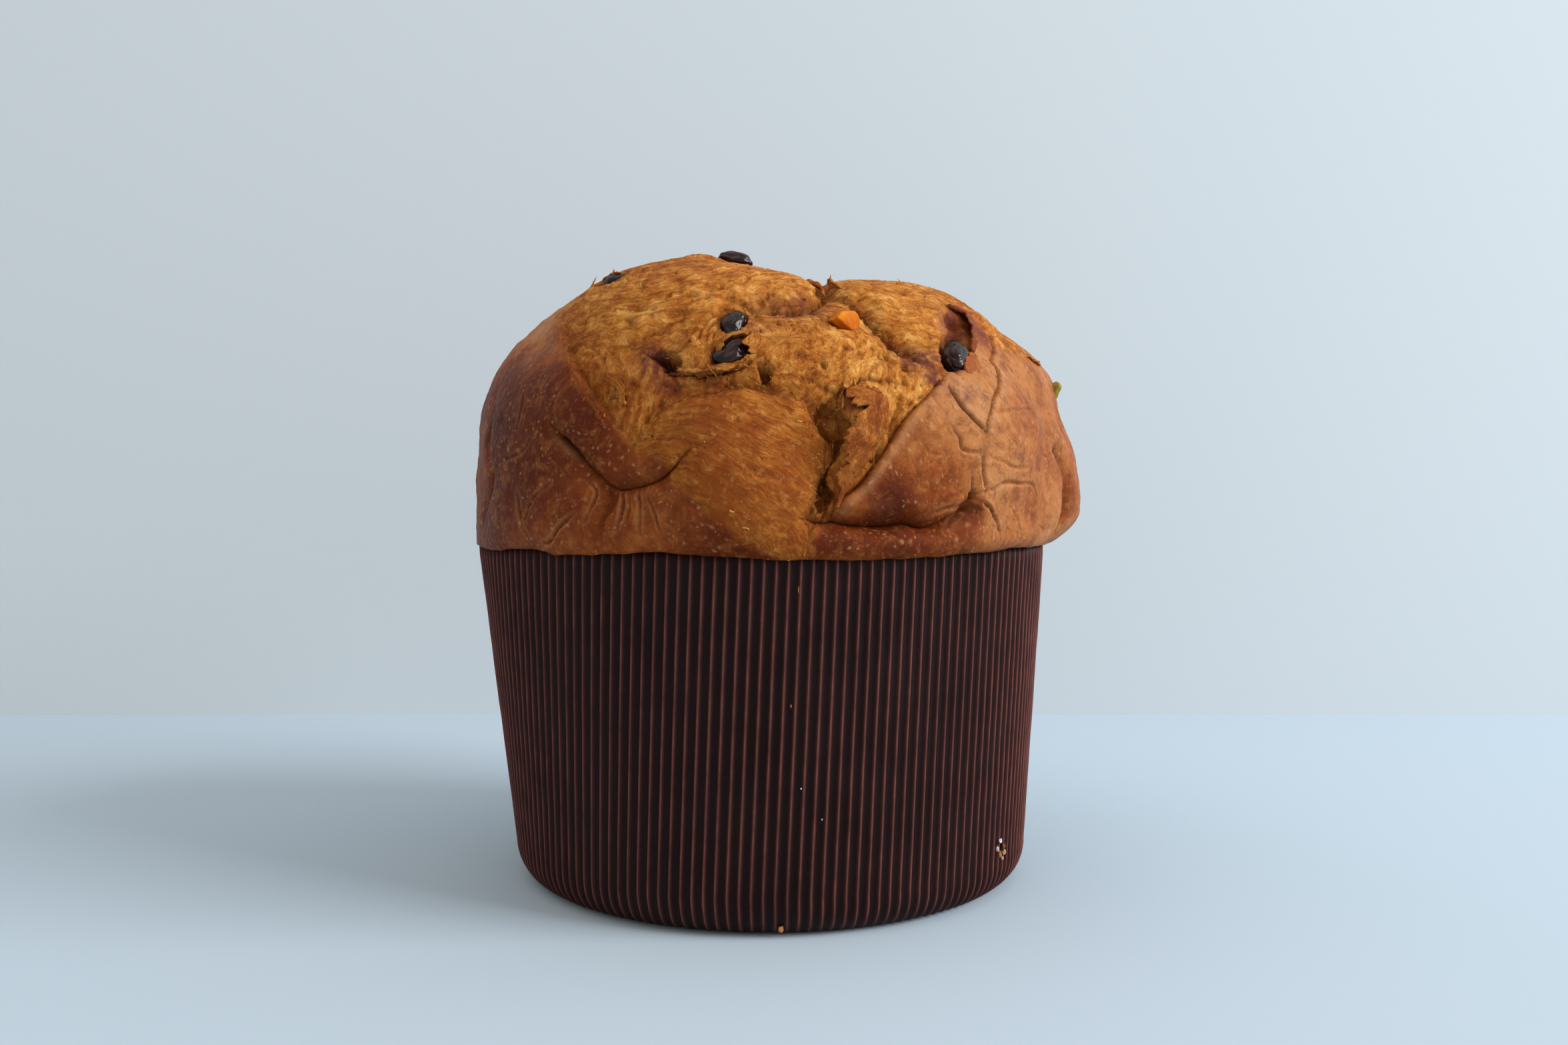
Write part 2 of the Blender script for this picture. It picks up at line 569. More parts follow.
# Hollows behind the torn edges: outline, depth, and the run-out of the slope into them.
HOLLOWS = [
    (
        [
            (7.8, 14.5), (8.6, 12.2), (10, 10.6), (11.4, 9.2), (12, 7.6), (13, 8.6), (14, 10), (14.2, 12),
            (13.8, 14), (12.8, 15.4), (11.5, 16.6), (9.5, 16.6),
        ],
        4.6, 1.4,
    ),
    ([(8.6, 4.6), (10.6, 5), (11.2, 3.6), (12, 1.6), (10.8, 0.4), (8.8, -0.6), (8, 1.5)], 4.0, 1.0),
    ([(-20.8, 25.3), (-18.5, 24), (-16.2, 22.7), (-14.2, 22.9), (-15.4, 24.4), (-18.5, 25.5)], 9.0, 0.6),
    ([(-9, 24), (-7.6, 26.5), (-5.5, 27.8), (-2.4, 27), (-2.4, 25.5), (-4.5, 23.7), (-8.5, 23)], 3.0, 0.7),
    ([(-1.1, 22.1), (-0.5, 19.6), (0.5, 19.2), (1, 20.6), (0.2, 22.3)], 6.5, 0.5),
    ([(32.2, 22.3), (34.5, 21.6), (38.5, 26), (42, 29.6), (38, 30.4), (34.5, 27.6)], 4.0, 0.8),
    ([(38.5, 33.8), (40.5, 34.6), (42.5, 33), (42, 30.5), (39.8, 29.8), (38.6, 31.5)], 2.6, 0.8),
    ([(23.6, 23.3), (25.5, 22.9), (25.2, 21.6), (23.8, 21.8)], 2.6, 0.6),
    ([(12, 50), (15, 44), (19, 45), (20, 51), (16, 56)], 2.5, 1.5),
    ([(33.5, -0.2), (35, 0.7), (37, 0.2), (37.5, -1.3), (35.5, -1.8)], 1.5, 1.0),
    ([(33.9, 2.5), (34.8, 2.9), (35.5, 1.7), (34.3, 1.2)], 2.6, 0.5),
]

# Small pits where a bubble broke: azimuth, latitude, reach in degrees, and depth.
PITS = [
    (16.4, 16.4, 0.45, 1.6), (16.6, 15.6, 0.40, 1.4), (18.5, 16, 0.35, 1.2), (17.2, 17.4, 0.30, 1.0),
    (18, 8, 0.50, 1.5), (17, 7.3, 0.35, 1.2), (14.6, 5.2, 0.30, 1.0), (-26.6, 18, 1.10, 1.1),
    (-24.6, 17.2, 0.80, 1.2), (-16.5, 18.4, 0.80, 1.3), (-15, 19.2, 0.55, 1.2), (-23, 20, 0.60, 0.9),
    (-31, 25, 0.50, 0.9), (-40, 33, 0.50, 0.8), (5.6, 24, 0.50, 1.2), (8, 29, 0.40, 0.9),
    (3, 33.5, 0.40, 0.9), (22, 27, 0.40, 0.9), (-28, 40, 0.35, 0.8), (-22, 44, 0.35, 0.7),
    (-36, 46, 0.35, 0.8), (-18, 38, 0.35, 0.7), (9.5, 22.4, 0.60, 1.3), (-4, 13, 0.35, 0.9),
    (3, 6, 0.35, 0.9), (-10, 9, 0.30, 0.8), (32, 40, 0.55, 1.0), (44, 43, 0.50, 0.9), (24, 36, 0.45, 0.9),
    (160, 30, 0.80, 1.2), (-150, 60, 0.80, 1.1), (128, 56, 0.70, 1.1), (152, 8, 0.70, 1.3),
    (-100, 52, 0.70, 1.0),
]

# Patches of colour: azimuth, latitude, reach in degrees, and strength. Toast above 0 is darker.
TOAST = [
    (-4, 6, 14, 1.2), (-28, 36, 16, -1.2), (-14, 55, 20, 0.3), (20, 48, 16, -1.1), (18, 26, 9, -1.1),
    (2, 14, 8, -0.1), (28, 34, 9, -0.8),
    (-58, 8, 30, 1.0), (-60, 24, 12, 0.5), (60, 12, 34, -0.62), (30, 6, 12, -0.5), (-72, 40, 12, -1.3),
    (-60, 33, 9, -0.9), (-50, 27, 6, -0.4),
    (-44, 19, 8, 0.7), (-31, 14, 6, 0.9), (-12, -3, 6, -0.3), (-4, -6.5, 5, 0.5), (-20, -4, 5, -0.4),
    (-54, 3, 8, 0.6), (-36, -6, 8, -0.2),
    (20, 0.5, 3.0, 1.7), (28, 3, 5, 0.3), (-3, 38, 7, -0.8), (8, 12, 5, 0.4), (34, -5, 5, 0.8),
    (22, -5, 6, 1.1), (13, -5, 4, 1.2), (36, -0.6, 2.4, 1.0),
    (44, 10, 6, 0.4), (71.5, 1, 3.5, 1.2), (46, 33, 4, 0.6), (-18, 1.5, 4.5, -0.5), (-27, -1, 4, -0.4),
    (-24, 12, 3, -0.2),
    (44, 26, 5, -0.3), (58, 22, 7, -0.3), (36, 17, 5, -0.4), (56, -4, 8, 0.1), (-62, 16, 6, 0.2),
    (12, 2, 3, -0.5),
    (16, 14, 3.5, -1.2), (18.5, 17, 3.5, -1.1), (13.5, 6.5, 2.6, -0.6), (46, 0, 8, 0.1),
    (60, 8, 5, -0.1), (110, 12, 9, 0.5), (140, 2, 9, 0.4), (-150, 15, 12, 0.5), (-115, 8, 9, 0.3),
    (170, -2, 10, 0.4),
]
# Where raisins have stained the dough, in the same way.
STAINS = [
    (19, 0, 1.3, 0.25), (-19, 24, 3.0, 0.9), (-16, 20.5, 2.5, 0.7), (-22, 25, 3, 0.5), (26, 24.5, 2.4, 1.1),
    (30.5, 24.5, 2.2, 1.1), (29, 20.5, 1.8, 0.9), (-1, 29.6, 1.6, 0.7), (4, 36, 4, 0.5), (9, 37, 4, 0.5),
    (14.6, 17.3, 1.8, 0.9), (40.5, 32, 2.0, 1.1), (41, 36, 3, 0.5), (34, 18, 3, 0.5), (-8, 22, 2, 0.6),
    (48, 31, 3, 0.5), (166, 20, 4, 0.6), (122, 47, 4, 0.5), (-122, 37, 4, 0.5),
]

# Dark spots in the flap's crease and just over the rolled lip, as azimuth and latitude.
DARK_SPOTS = [(-35, 11.2), (-33.2, 10), (-31.4, 8.6), (-29.8, 7.2), (-28, 5.6), (17.4, 0.2), (19.4, 0.6)]

# Fruit in the crown: kind, azimuth, latitude, length, width, thickness, turn, and sink.
FRUIT = {
    "raisin_crest": ("raisin", -16, 65, 11.5, 7.0, 5.5, 10, 0.4),
    "raisin_shoulder": ("raisin", -42.5, 45, 10.0, 7.0, 6.0, 20, 2.0),
    "raisin_upper": ("raisin", -6, 31.8, 11.2, 7.2, 6.4, 84, 1.0),
    "raisin_lower": ("raisin", -5.4, 24.8, 12.0, 8.0, 6.5, 40, 2.0),
    "raisin_right": ("raisin", 37.0, 25.8, 13.4, 8.4, 7.6, 60, 0.8),
    "raisin_back_left": ("raisin", -124, 40, 11.0, 7.5, 6.0, 30, 1.0),
    "raisin_back": ("raisin", 168, 22, 12.0, 8.0, 6.5, -20, 1.4),
    "raisin_back_right": ("raisin", 122, 50, 11.0, 7.0, 6.0, 60, 0.8),
    "peel_front": ("peel", 15, 32, 8.4, 7.0, 6.0, 10, -0.6),
    "peel_side": ("citron", 78.5, 21.8, 5.5, 4.5, 4.5, 70, -0.6),
    "peel_back": ("peel", -158, 50, 9.5, 7.0, 6.0, -30, 0.2),
    "peel_left": ("peel", -96, 30, 8.0, 6.0, 5.5, 40, 0.8),
}

# The mesh: a square net on top, and rings below it, closer together at the torn front. Faces along
# the front folds and creases are split once more.
NET = 130
RING_ROWS = 112
NET_EDGE_LATITUDE = 52.0
FRONT_AZIMUTH = 4.0
FRONT_SHARE = 0.54
LOW_SHARE = 0.30
SPLIT_WITHIN = 1.3  # mm from a fold or a crease
SPLIT_FROM, SPLIT_TO, SPLIT_ABOVE = -64, 74, -8  # degrees of azimuth, and of latitude
LIP_LEVELS = [
    # azimuth, and how far the bottom of the lip is drawn up there
    (-180, 0.5), (-120, -0.4), (-95, 1.0), (-70, 1.4), (-50, 2.0), (-42, 2.4), (-37, 0.2), (-20, -0.3),
    (0, 0.0), (20, 0.3),
    (45, 0.2), (62, 1.0), (72, 2.4), (90, 2.2), (120, 0.2), (150, 0.8), (180, 0.5),
]


def directions(azimuth, latitude):
    """Unit vectors from the middle of the crown, for arrays of degrees."""
    az, lat = np.radians(azimuth), np.radians(np.maximum(latitude, 0.0))
    return np.stack([np.cos(lat) * np.sin(az), -np.cos(lat) * np.cos(az), np.sin(lat)], -1)


def plain_crown(azimuth, latitude):
    """Points on the crown without its lobes: a squarish dome over a rounded lip."""
    lat = np.radians(np.maximum(latitude, 0.0))
    rise = CROWN_TOP - WIDEST_LEVEL
    reach = (np.cos(lat) / CROWN_RADIUS) ** DOME_POWER + (np.sin(lat) / rise) ** DOME_POWER
    reach = reach ** (-1.0 / DOME_POWER)
    out, up = reach * np.cos(lat), reach * np.sin(lat)
    under = np.minimum(latitude, 0.0) / LIP_DEGREES * math.pi / 2
    out = np.where(latitude < 0, LIP_INSIDE + (CROWN_RADIUS - LIP_INSIDE) * np.cos(under), out)
    up = np.where(latitude < 0, (WIDEST_LEVEL - LIP_BOTTOM) * np.sin(under), up)
    az = np.radians(azimuth)
    return np.stack([out * np.sin(az), -out * np.cos(az), WIDEST_LEVEL + up], -1)


def lobe_heights(azimuth, latitude):
    """Height of the lobes, joined so that a valley runs where two of them meet, and which is highest."""
    direction = directions(azimuth, latitude)
    total, heights = np.ones(direction.shape[:-1]), []
    for az, lat, height, across, along in LOBES.values():
        centre = directions(az, lat)
        east = directions(az + 90, 0)
        north = np.cross(east, centre) * -1.0
        ahead = np.maximum(direction @ centre, 0.05)
        u = np.degrees(np.arctan2(direction @ east, ahead)) / across
        v = (np.degrees(np.arctan2(direction @ north, ahead)) + np.minimum(latitude, 0) - min(lat, 0)) / along
        heights.append(height * (1.0 - np.minimum(u * u + v * v, 4.0)))
        total += np.exp(heights[-1] / LOBE_SOFTNESS)
    return LOBE_SOFTNESS * np.log(total), np.argmax(heights, axis=0)


def smooth_corners(corners, steps=10):
    """A Catmull-Rom curve through azimuth and latitude corners."""
    corners = [np.array(c, float) for c in corners]
    ends = [2 * corners[0] - corners[1], *corners, 2 * corners[-1] - corners[-2]]
    found = []
    for a, b, c, d in zip(ends, ends[1:], ends[2:], ends[3:]):
        for t in np.arange(steps) / steps:
            found.append(
                0.5
                * (2 * b + (c - a) * t + (2 * a - 5 * b + 4 * c - d) * t**2 + (3 * b - a - 3 * c + d) * t**3)
            )
    return np.array([*found, corners[-1]])


def smooth_path(corners):
    """The same curve, as points on the plain crown."""
    curve = smooth_corners(corners)
    return plain_crown(curve[:, 0], curve[:, 1])


def from_above(azimuth, latitude):
    """A flat map of the crown, its top in the middle."""
    out, az = 100.0 - latitude, np.radians(azimuth)
    return np.stack([out * np.sin(az), -out * np.cos(az)], -1)


def inside_outline(points, azimuth, latitude, outline, within):
    """Distance from a closed outline, positive inside it."""
    loop = smooth_corners(from_above(*np.array([*outline, outline[0]], float).T))
    x, y = from_above(azimuth, latitude).T
    inside = np.zeros(len(points), bool)
    for (x0, y0), (x1, y1) in zip(loop, loop[1:]):
        if y0 != y1:
            inside ^= ((y0 > y) != (y1 > y)) & (x < x0 + (y - y0) * (x1 - x0) / (y1 - y0))
    path = plain_crown(np.degrees(np.arctan2(loop[:, 0], -loop[:, 1])), 100.0 - np.hypot(*loop.T))
    signed, _, _ = beside_path(points, directions(azimuth, latitude), path, within)
    return np.where(inside, 1, -1) * np.abs(signed)


def beside_path(points, outward, path, within):
    """Signed distance from a path, positive on its left, with the share along it and the way left.

    Points further than the given distance keep that distance."""
    distance = np.full(len(points), float(within))
    side, along, left_way = np.ones(len(points)), np.zeros(len(points)), np.zeros((len(points), 3))
    near = np.all((points > path.min(0) - within) & (points < path.max(0) + within), axis=1)
    near = np.nonzero(near)[0]
    some, out = points[near], outward[near]
    best = np.full(len(near), float(within))
    for k in range(len(path) - 1):
        start, run = path[k], path[k + 1] - path[k]
        t = np.clip((some - start) @ run / (run @ run), 0.0, 1.0)
        away = some - (start + t[:, None] * run)
        length = np.linalg.norm(away, axis=1)
        closer = length < best
        rows = near[closer]
        best[closer] = length[closer]
        distance[rows] = length[closer]
        left = np.cross(out[closer], run)
        left /= np.linalg.norm(left, axis=1)[:, None] + 1e-9
        left_way[rows] = left
        side[rows] = np.where(np.einsum("ij,ij->i", left, away[closer]) >= 0, 1.0, -1.0)
        along[rows] = (k + t[closer]) / (len(path) - 1)
    return distance * side, along, left_way


def bell(value, width):
    """1 at zero, falling to either side over about the given width."""
    return np.exp(-((value / width) ** 2))


def end_fade(along):
    """1 in the middle of a path, falling to about a quarter at its ends."""
    return np.sqrt(np.clip(np.sin(np.pi * np.clip(along, 0.02, 0.98)), 0.0, 1.0))


def main_heights(azimuth, latitude):
    """Lobes and main folds without their fine finish, for seating fruit where the solids have it."""
    points, outward = plain_crown(azimuth, latitude), directions(azimuth, latitude)
    height, _ = lobe_heights(azimuth, latitude)
    for corners, depth, half_width, proud, _, _ in FOLDS.values():
        signed, along, _ = beside_path(points, outward, smooth_path(corners), 60.0)
        groove = -depth * bell(signed, half_width)
        step = proud * np.exp(-np.abs(signed) / FOLD_REACH) * (signed > 0)
        height += end_fade(along) * (groove + step)
    return height


def raised(azimuth, latitude, height):
    """Points on the plain crown, moved out by a height. Lobes and folds fade out under the lip."""
    fade = np.sin(math.pi / 2 * np.clip((latitude + LIP_DEGREES) / LIP_DEGREES, 0.0, 1.0))
    points = plain_crown(azimuth, latitude) + directions(azimuth, latitude) * (height * fade)[:, None]
    points[:, 0] += CASE_LEAN / MM + (CROWN_LEAN - CASE_LEAN / MM) * fade
    points[:, 2] -= LIP_SAG * (1 - fade) * np.sin(np.radians(azimuth) * LIP_WAVES)
    return points


def seat(azimuth, latitude, turn, sink):
    """Where a piece of fruit lies: on the crown, its length along the surface, turned about the normal."""
    az, lat = np.array([azimuth, azimuth + 0.5, azimuth]), np.array([latitude, latitude, latitude + 0.5])
    at, east, north = raised(az, lat, main_heights(az, lat)) * MM
    east = Vector(east - at).normalized()
    out = east.cross(Vector(north - at)).normalized()
    turned = Matrix((east, out.cross(east), out)).transposed().to_4x4()
    return (
        Matrix.Translation(Vector(at) - out * sink * MM) @ turned
        @ Matrix.Rotation(math.radians(turn), 4, "Z")
    )


def seed_shift(seed):
    """Where in the noise a pattern starts, so that no two are alike."""
    return Vector((seed * 7.31, seed * 3.17, seed * 5.77))


def speckle(points, size, seed):
    """Noise from about -1 to 1 at points in mm, with bumps of about the given size."""
    shift = seed_shift(seed)
    return np.array([noise.noise(Vector(p) / size + shift) for p in points])


def ridges(points, size, seed):
    """Ridges where the noise passes through zero."""
    return 0.25 - np.abs(speckle(points, size, seed))


def crumpled(points, size, seed):
    """Thin creases where random cells of about the given size meet: 1 on a crease."""
    shift = seed_shift(seed)
    near = [noise.voronoi(Vector(p) / size + shift)[0] for p in points]
    return np.exp(-np.array([d[1] - d[0] for d in near]) * size / 1.1)


def bands(loops):
    """Faces between closed loops of points, from each to the next."""
    return [
        corners
        for upper, lower in zip(loops, loops[1:])
        for corners in zip(upper, lower, lower[1:] + lower[:1], upper[1:] + upper[:1])
    ]


def row_loops(first, start, rows):
    """A loop of points, and rows of as many points that were added after it."""
    size = len(first)
    return [first, *([*range(start + row * size, start + (row + 1) * size)] for row in range(rows))]


def round_points(radius, turn, level):
    """Points round the Z axis at angles from the front."""
    return np.stack([radius * np.sin(turn), -radius * np.cos(turn), np.full(len(turn), level)], -1)


def edge_side(signed, proud):
    """Which side of a fold stands proud."""
    return (signed > 0) if proud > 0 else (signed < 0)


def smoothstep(low, high, value):
    """From 0 at low to 1 at high, which may be the smaller of the two."""
    t = np.clip((value - low) / (high - low), 0.0, 1.0)
    return t * t * (3 - 2 * t)


# The net's corners, as azimuth and latitude.
across = np.linspace(-1.0, 1.0, NET + 1)
net_x, net_y = np.meshgrid(across, across, indexing="ij")
ring = np.maximum(np.abs(net_x), np.abs(net_y))
with np.errstate(divide="ignore", invalid="ignore"):
    turn = np.where(
        np.abs(net_x) >= np.abs(net_y),
        math.pi / 4 * net_y / net_x + np.where(net_x < 0, math.pi, 0.0),
        math.pi / 2 - math.pi / 4 * net_x / net_y + np.where(net_y < 0, math.pi, 0.0),
    )
turn = np.nan_to_num(turn).ravel()
net_latitude = 90.0 - (90.0 - NET_EDGE_LATITUDE) * ring.ravel()

# The rim of the net in order, which the rings go on from.
grid = np.arange((NET + 1) ** 2).reshape(NET + 1, NET + 1)
rim = np.concatenate([grid[:-1, 0], grid[-1, :-1], grid[:0:-1, -1], grid[0, :0:-1]])
steps = np.arange(1, RING_ROWS + 1) / RING_ROWS
steps = steps + LOW_SHARE * np.sin(math.pi * steps) / math.pi
ring_latitude = NET_EDGE_LATITUDE - (NET_EDGE_LATITUDE + LIP_DEGREES) * steps
turns = np.concatenate([turn, np.tile(turn[rim], RING_ROWS)])
latitude = np.concatenate([net_latitude, np.repeat(ring_latitude, len(rim))])
azimuth = (np.degrees(turns) + 90.0 + 180.0) % 360.0 - 180.0
azimuth = azimuth - np.degrees(FRONT_SHARE * np.sin(np.radians(azimuth - FRONT_AZIMUTH)))

# The faces, and below the lip the core that fills the case.
side = NET + 1
faces = [(a, a + side, a + side + 1, a + 1) for i in range(NET) for a in range(i * side, i * side + NET)]
faces += bands(row_loops(rim.tolist(), side**2, RING_ROWS))
on_plain = plain_crown(azimuth, latitude)
near_fold = np.full(len(azimuth), SPLIT_WITHIN * 2)
front = (azimuth > SPLIT_FROM) & (azimuth < SPLIT_TO) & (latitude > SPLIT_ABOVE)
sharp = [fold[0] for fold in FOLDS.values() if fold[1] < 5.0 or fold[4] > 0]
for corners in sharp + [crease[0] for crease in CREASES]:
    if SPLIT_FROM < corners[0][0] < SPLIT_TO and corners is not FOLDS["flap_edge"][0]:
        signed, _, _ = beside_path(
            on_plain, directions(azimuth, latitude), smooth_path(corners), SPLIT_WITHIN * 2
        )
        near_fold = np.minimum(near_fold, np.abs(signed))
chosen = front & (near_fold < SPLIT_WITHIN)
shape = bmesh.new()
az_layer, lat_layer = shape.verts.layers.float.new("azimuth"), shape.verts.layers.float.new("latitude")
knots = [shape.verts.new(p) for p in on_plain.tolist()]
for knot, az, lat in zip(knots, azimuth.tolist(), latitude.tolist()):
    knot[az_layer], knot[lat_layer] = az, lat
split = set()
for face in faces:
    made = shape.faces.new([knots[k] for k in face])
    if any(chosen[k] for k in face):
        split.update(made.edges)
bmesh.ops.subdivide_edges(shape, edges=list(split), cuts=1, use_grid_fill=True)
shape.verts.index_update()
azimuth = np.array([v[az_layer] for v in shape.verts])
latitude = np.array([v[lat_layer] for v in shape.verts])
faces = [tuple(v.index for v in face.verts) for face in shape.faces]
edge = next(e for e in shape.edges if e.is_boundary)
bottom = [*edge.verts]
while True:
    onward = [e.other_vert(bottom[-1]) for e in bottom[-1].link_edges if e.is_boundary]
    following = next(knot for knot in onward if knot != bottom[-2])
    if following == bottom[0]:
        break
    bottom.append(following)
rim = np.array([v.index for v in bottom])
shape.free()

points, outward = plain_crown(azimuth, latitude), directions(azimuth, latitude)
height, highest = lobe_heights(azimuth, latitude)


def patches(spots):
    """Soft round patches, added together."""
    total = np.zeros(len(points))
    here = directions(azimuth, latitude)
    for az, lat, reach, strength in spots:
        there = directions(az, lat)
        apart = np.degrees(np.arccos(np.clip(here @ there, -1, 1)))
        apart = np.hypot(apart, np.minimum(latitude, 0) - min(lat, 0))
        total += strength * bell(apart, reach)
    return total


height += patches(SWELLS)
rim_shade = np.zeros(len(points))
push = np.zeros_like(points)
fold_shade = np.zeros(len(points))
rough = speckle(points, 2.6, 1) + 0.6 * speckle(points, 1.1, 2)
FOLD_SPREAD, CREASE_SPREAD = 45.0, 12.0  # mm over which each is felt
for corners, depth, half_width, proud, overhang, ragged in FOLDS.values():
    signed, along, left_way = beside_path(points, outward, smooth_path(corners), FOLD_SPREAD)
    signed = signed + ragged * rough
    fade = end_fade(along)
    edge = smoothstep(-0.4, 0.4, signed)
    groove = -depth * (0.65 * bell(signed, half_width) + 0.45 * np.exp(-3.5 * np.abs(signed) / half_width))
    step = proud * np.exp(-np.abs(signed) / FOLD_REACH) * edge
    height += fade * (groove + step)
    fold_shade = np.maximum(fold_shade, fade * min(depth / 4, 1) * bell(signed, max(0.6, 0.5 * half_width)))
    if half_width < 1.5:
        rim_shade = np.maximum(
            rim_shade, 0.8 * fade * edge_side(signed, proud) * bell(np.abs(signed) - 1.8, 1.0)
        )
    proud_side = edge if proud > 0 else 1 - edge
    way = -1.0 if proud > 0 else 1.0
    lean_over = fade * overhang * proud_side * bell(signed, 3.0)
    height += 0.45 * lean_over
    push += left_way * (way * lean_over)[:, None]
for corners, depth, half_width in CREASES:
    signed, along, _ = beside_path(points, outward, smooth_path(corners), CREASE_SPREAD)
    signed = np.abs(signed + 0.25 * rough)
    crease = -np.exp(-signed / (0.42 * half_width)) + 0.10 * bell(signed - 1.3 * half_width, 0.6 * half_width)
    rim_shade = np.maximum(
        rim_shade, 0.8 * end_fade(along) * min(depth / 1.8, 1) * bell(signed - half_width, 0.45 * half_width)
    )
    height += end_fade(along) ** 2 * depth * crease
    fold_shade = np.maximum(fold_shade, 0.45 * end_fade(along) * min(depth / 1.6, 1) * bell(signed, 0.40))

for outline, depth, slope in HOLLOWS:
    signed = inside_outline(points, azimuth, latitude, outline, 15.0)
    hollow = smoothstep(-0.5 * slope, slope, signed + 0.5 * rough)
    height -= depth * hollow
    fold_shade = np.maximum(fold_shade, 0.5 * hollow)

dug = patches(PITS) * (1 + 1.2 * speckle(points, 1.3, 56))
height -= dug
fold_shade = np.maximum(fold_shade, np.clip(dug * 0.7, 0, 0.9))
fold_shade = np.clip(fold_shade + patches([(az, lat, 1.2, 0.8) for az, lat in DARK_SPOTS]), 0, 1)

# Crust or crumb, and how each finishes the surface.
signed = inside_outline(points, azimuth, latitude, CRUMB_EDGE, 30.0)
SOFT_EDGES = [
    (-64, 34, 12, 9.0), (-50, 30, 7, 3.0), (68, 30, 8, 3.0), (-100, 44, 14, 6.0), (110, 46, 12, 6.0)
]
soft = 1.6 + patches(SOFT_EDGES)
crumb = smoothstep(-1.0, 1.0, (signed + 1.2 * speckle(points, 5.0, 3) + 0.8 * speckle(points, 1.8, 4)) / soft)

toast = 0.7 * patches(TOAST) + 0.2 * speckle(points, 12.0, 11)
stain = np.clip(
    patches(STAINS) * (0.9 + 1.2 * speckle(points, 1.6, 12) + 0.8 * speckle(points, 4.0, 13)), 0, 1
)

# Strands run round each lobe, and fan out over the stretched belly from the fold beside it.
along_strand, across_strand = np.zeros(len(points)), np.zeros(len(points))
for index, (az, lat, *_) in enumerate(LOBES.values()):
    centre = plain_crown(az, lat)
    east = directions(az + 90, 0)
    rise = np.cross(directions(az, lat), east)
    away = points - centre
    here = highest == index
    distance = np.linalg.norm(away, axis=1)
    around = np.arctan2(away @ rise, away @ east)
    along_strand[here] = (around * 34.0)[here]
    across_strand[here] = (distance + 40.0 * index)[here]
BELLY_FAN = (-24, 7)  # azimuth and latitude
fan = plain_crown(*BELLY_FAN) + np.array([-4.0, 0.0, 0.0])
away_x, away_z = points[:, 0] - fan[0], points[:, 2] - fan[2]
reach_out = np.hypot(away_x, away_z)
angle = np.arctan2(away_z, away_x) + 0.65
belly = (azimuth > -24) & (azimuth < 9.5) & (latitude < 20) & (angle > -0.3) & (points[:, 1] < 0)
belly_edge = [(7, -12), *FOLDS["belly_edge"][0], *FOLDS["belly_top"][0][1:], (-20, 12), (-22, 8)]
signed, _, _ = beside_path(points, outward, smooth_path(belly_edge), 60.0)
belly &= signed > 0
along_strand[belly] = reach_out[belly]
across_strand[belly] = 400 + (20.0 * angle * np.exp(reach_out / 48.0))[belly]
across_strand += 2.4 * speckle(points, 15.0, 31) + 0.9 * speckle(points, 5.0, 32)
strand = np.stack([along_strand, across_strand, np.zeros(len(points))], -1)

grain = 0.30 * speckle(points, 6.0, 5) + 0.24 * speckle(points, 2.4, 6) + 0.14 * speckle(points, 1.2, 7)
ropes = (
    0.5 * speckle(strand * [1 / 18.0, 1 / 1.6, 1.0], 1.0, 21)
    + speckle(strand * [1 / 26.0, 1 / 5.0, 1.0], 1.0, 22)
)
crinkle = 0.7 * ridges(points, 8.0, 23) + 0.5 * ridges(points, 3.6, 24)
taut = np.where(belly, 0.25, 1.0)
pits = (
    smoothstep(
        0.34, 0.60, speckle(strand * [1 / 3.0, 1 / 1.8, 1.0], 1.0, 8) + 0.5 * speckle(points, 14.0, 14) - 0.1
    )
    * taut
)
height += crumb * (0.9 * grain * (0.4 + 0.6 * taut) + 0.10 * ropes + 0.8 * crinkle * taut - 0.9 * pits)
BUCKLED = [(46, 10, 24, 0.9), (-24, -1, 10, 0.5), (-104, 5, 20, 0.5), (130, 5, 20, 0.6)]
buckled = np.clip(0.25 + patches(BUCKLED), 0, 1)
warped = points + 1.6 * np.stack([speckle(points, 7.0, seed) for seed in (51, 52, 53)], -1)
height -= (1 - crumb) * buckled * (0.45 * crumpled(warped, 15.0, 54) + 0.22 * crumpled(warped, 7.0, 55))
wrinkles = 0.45 * speckle(points, 9.0, 9) + 0.16 * speckle(points, 2.5, 10) + 0.45 * ridges(points, 6.0, 25)
height += (1 - crumb) * wrinkles

# The lip hangs lower in some places than in others.
around = round_points(CROWN_RADIUS, np.radians(azimuth), 0.0)
drawn_up = (
    np.interp(azimuth, *zip(*LIP_LEVELS)) + 0.8 * speckle(around, 14.0, 41) + 0.5 * speckle(around, 5.0, 42)
)
drawn_up = drawn_up * smoothstep(1.0, -7.0, latitude)

finished = raised(azimuth, latitude, height) + push * (np.clip((latitude + LIP_DEGREES) / 4, 0, 1))[:, None]
finished[:, 2] += drawn_up
LIP_TUCK, TUCK_LEVEL = -9.5, 109.8  # below this latitude the lip stays under this level, in mm
finished[:, 2] = np.where(latitude < LIP_TUCK, np.minimum(finished[:, 2], TUCK_LEVEL), finished[:, 2])

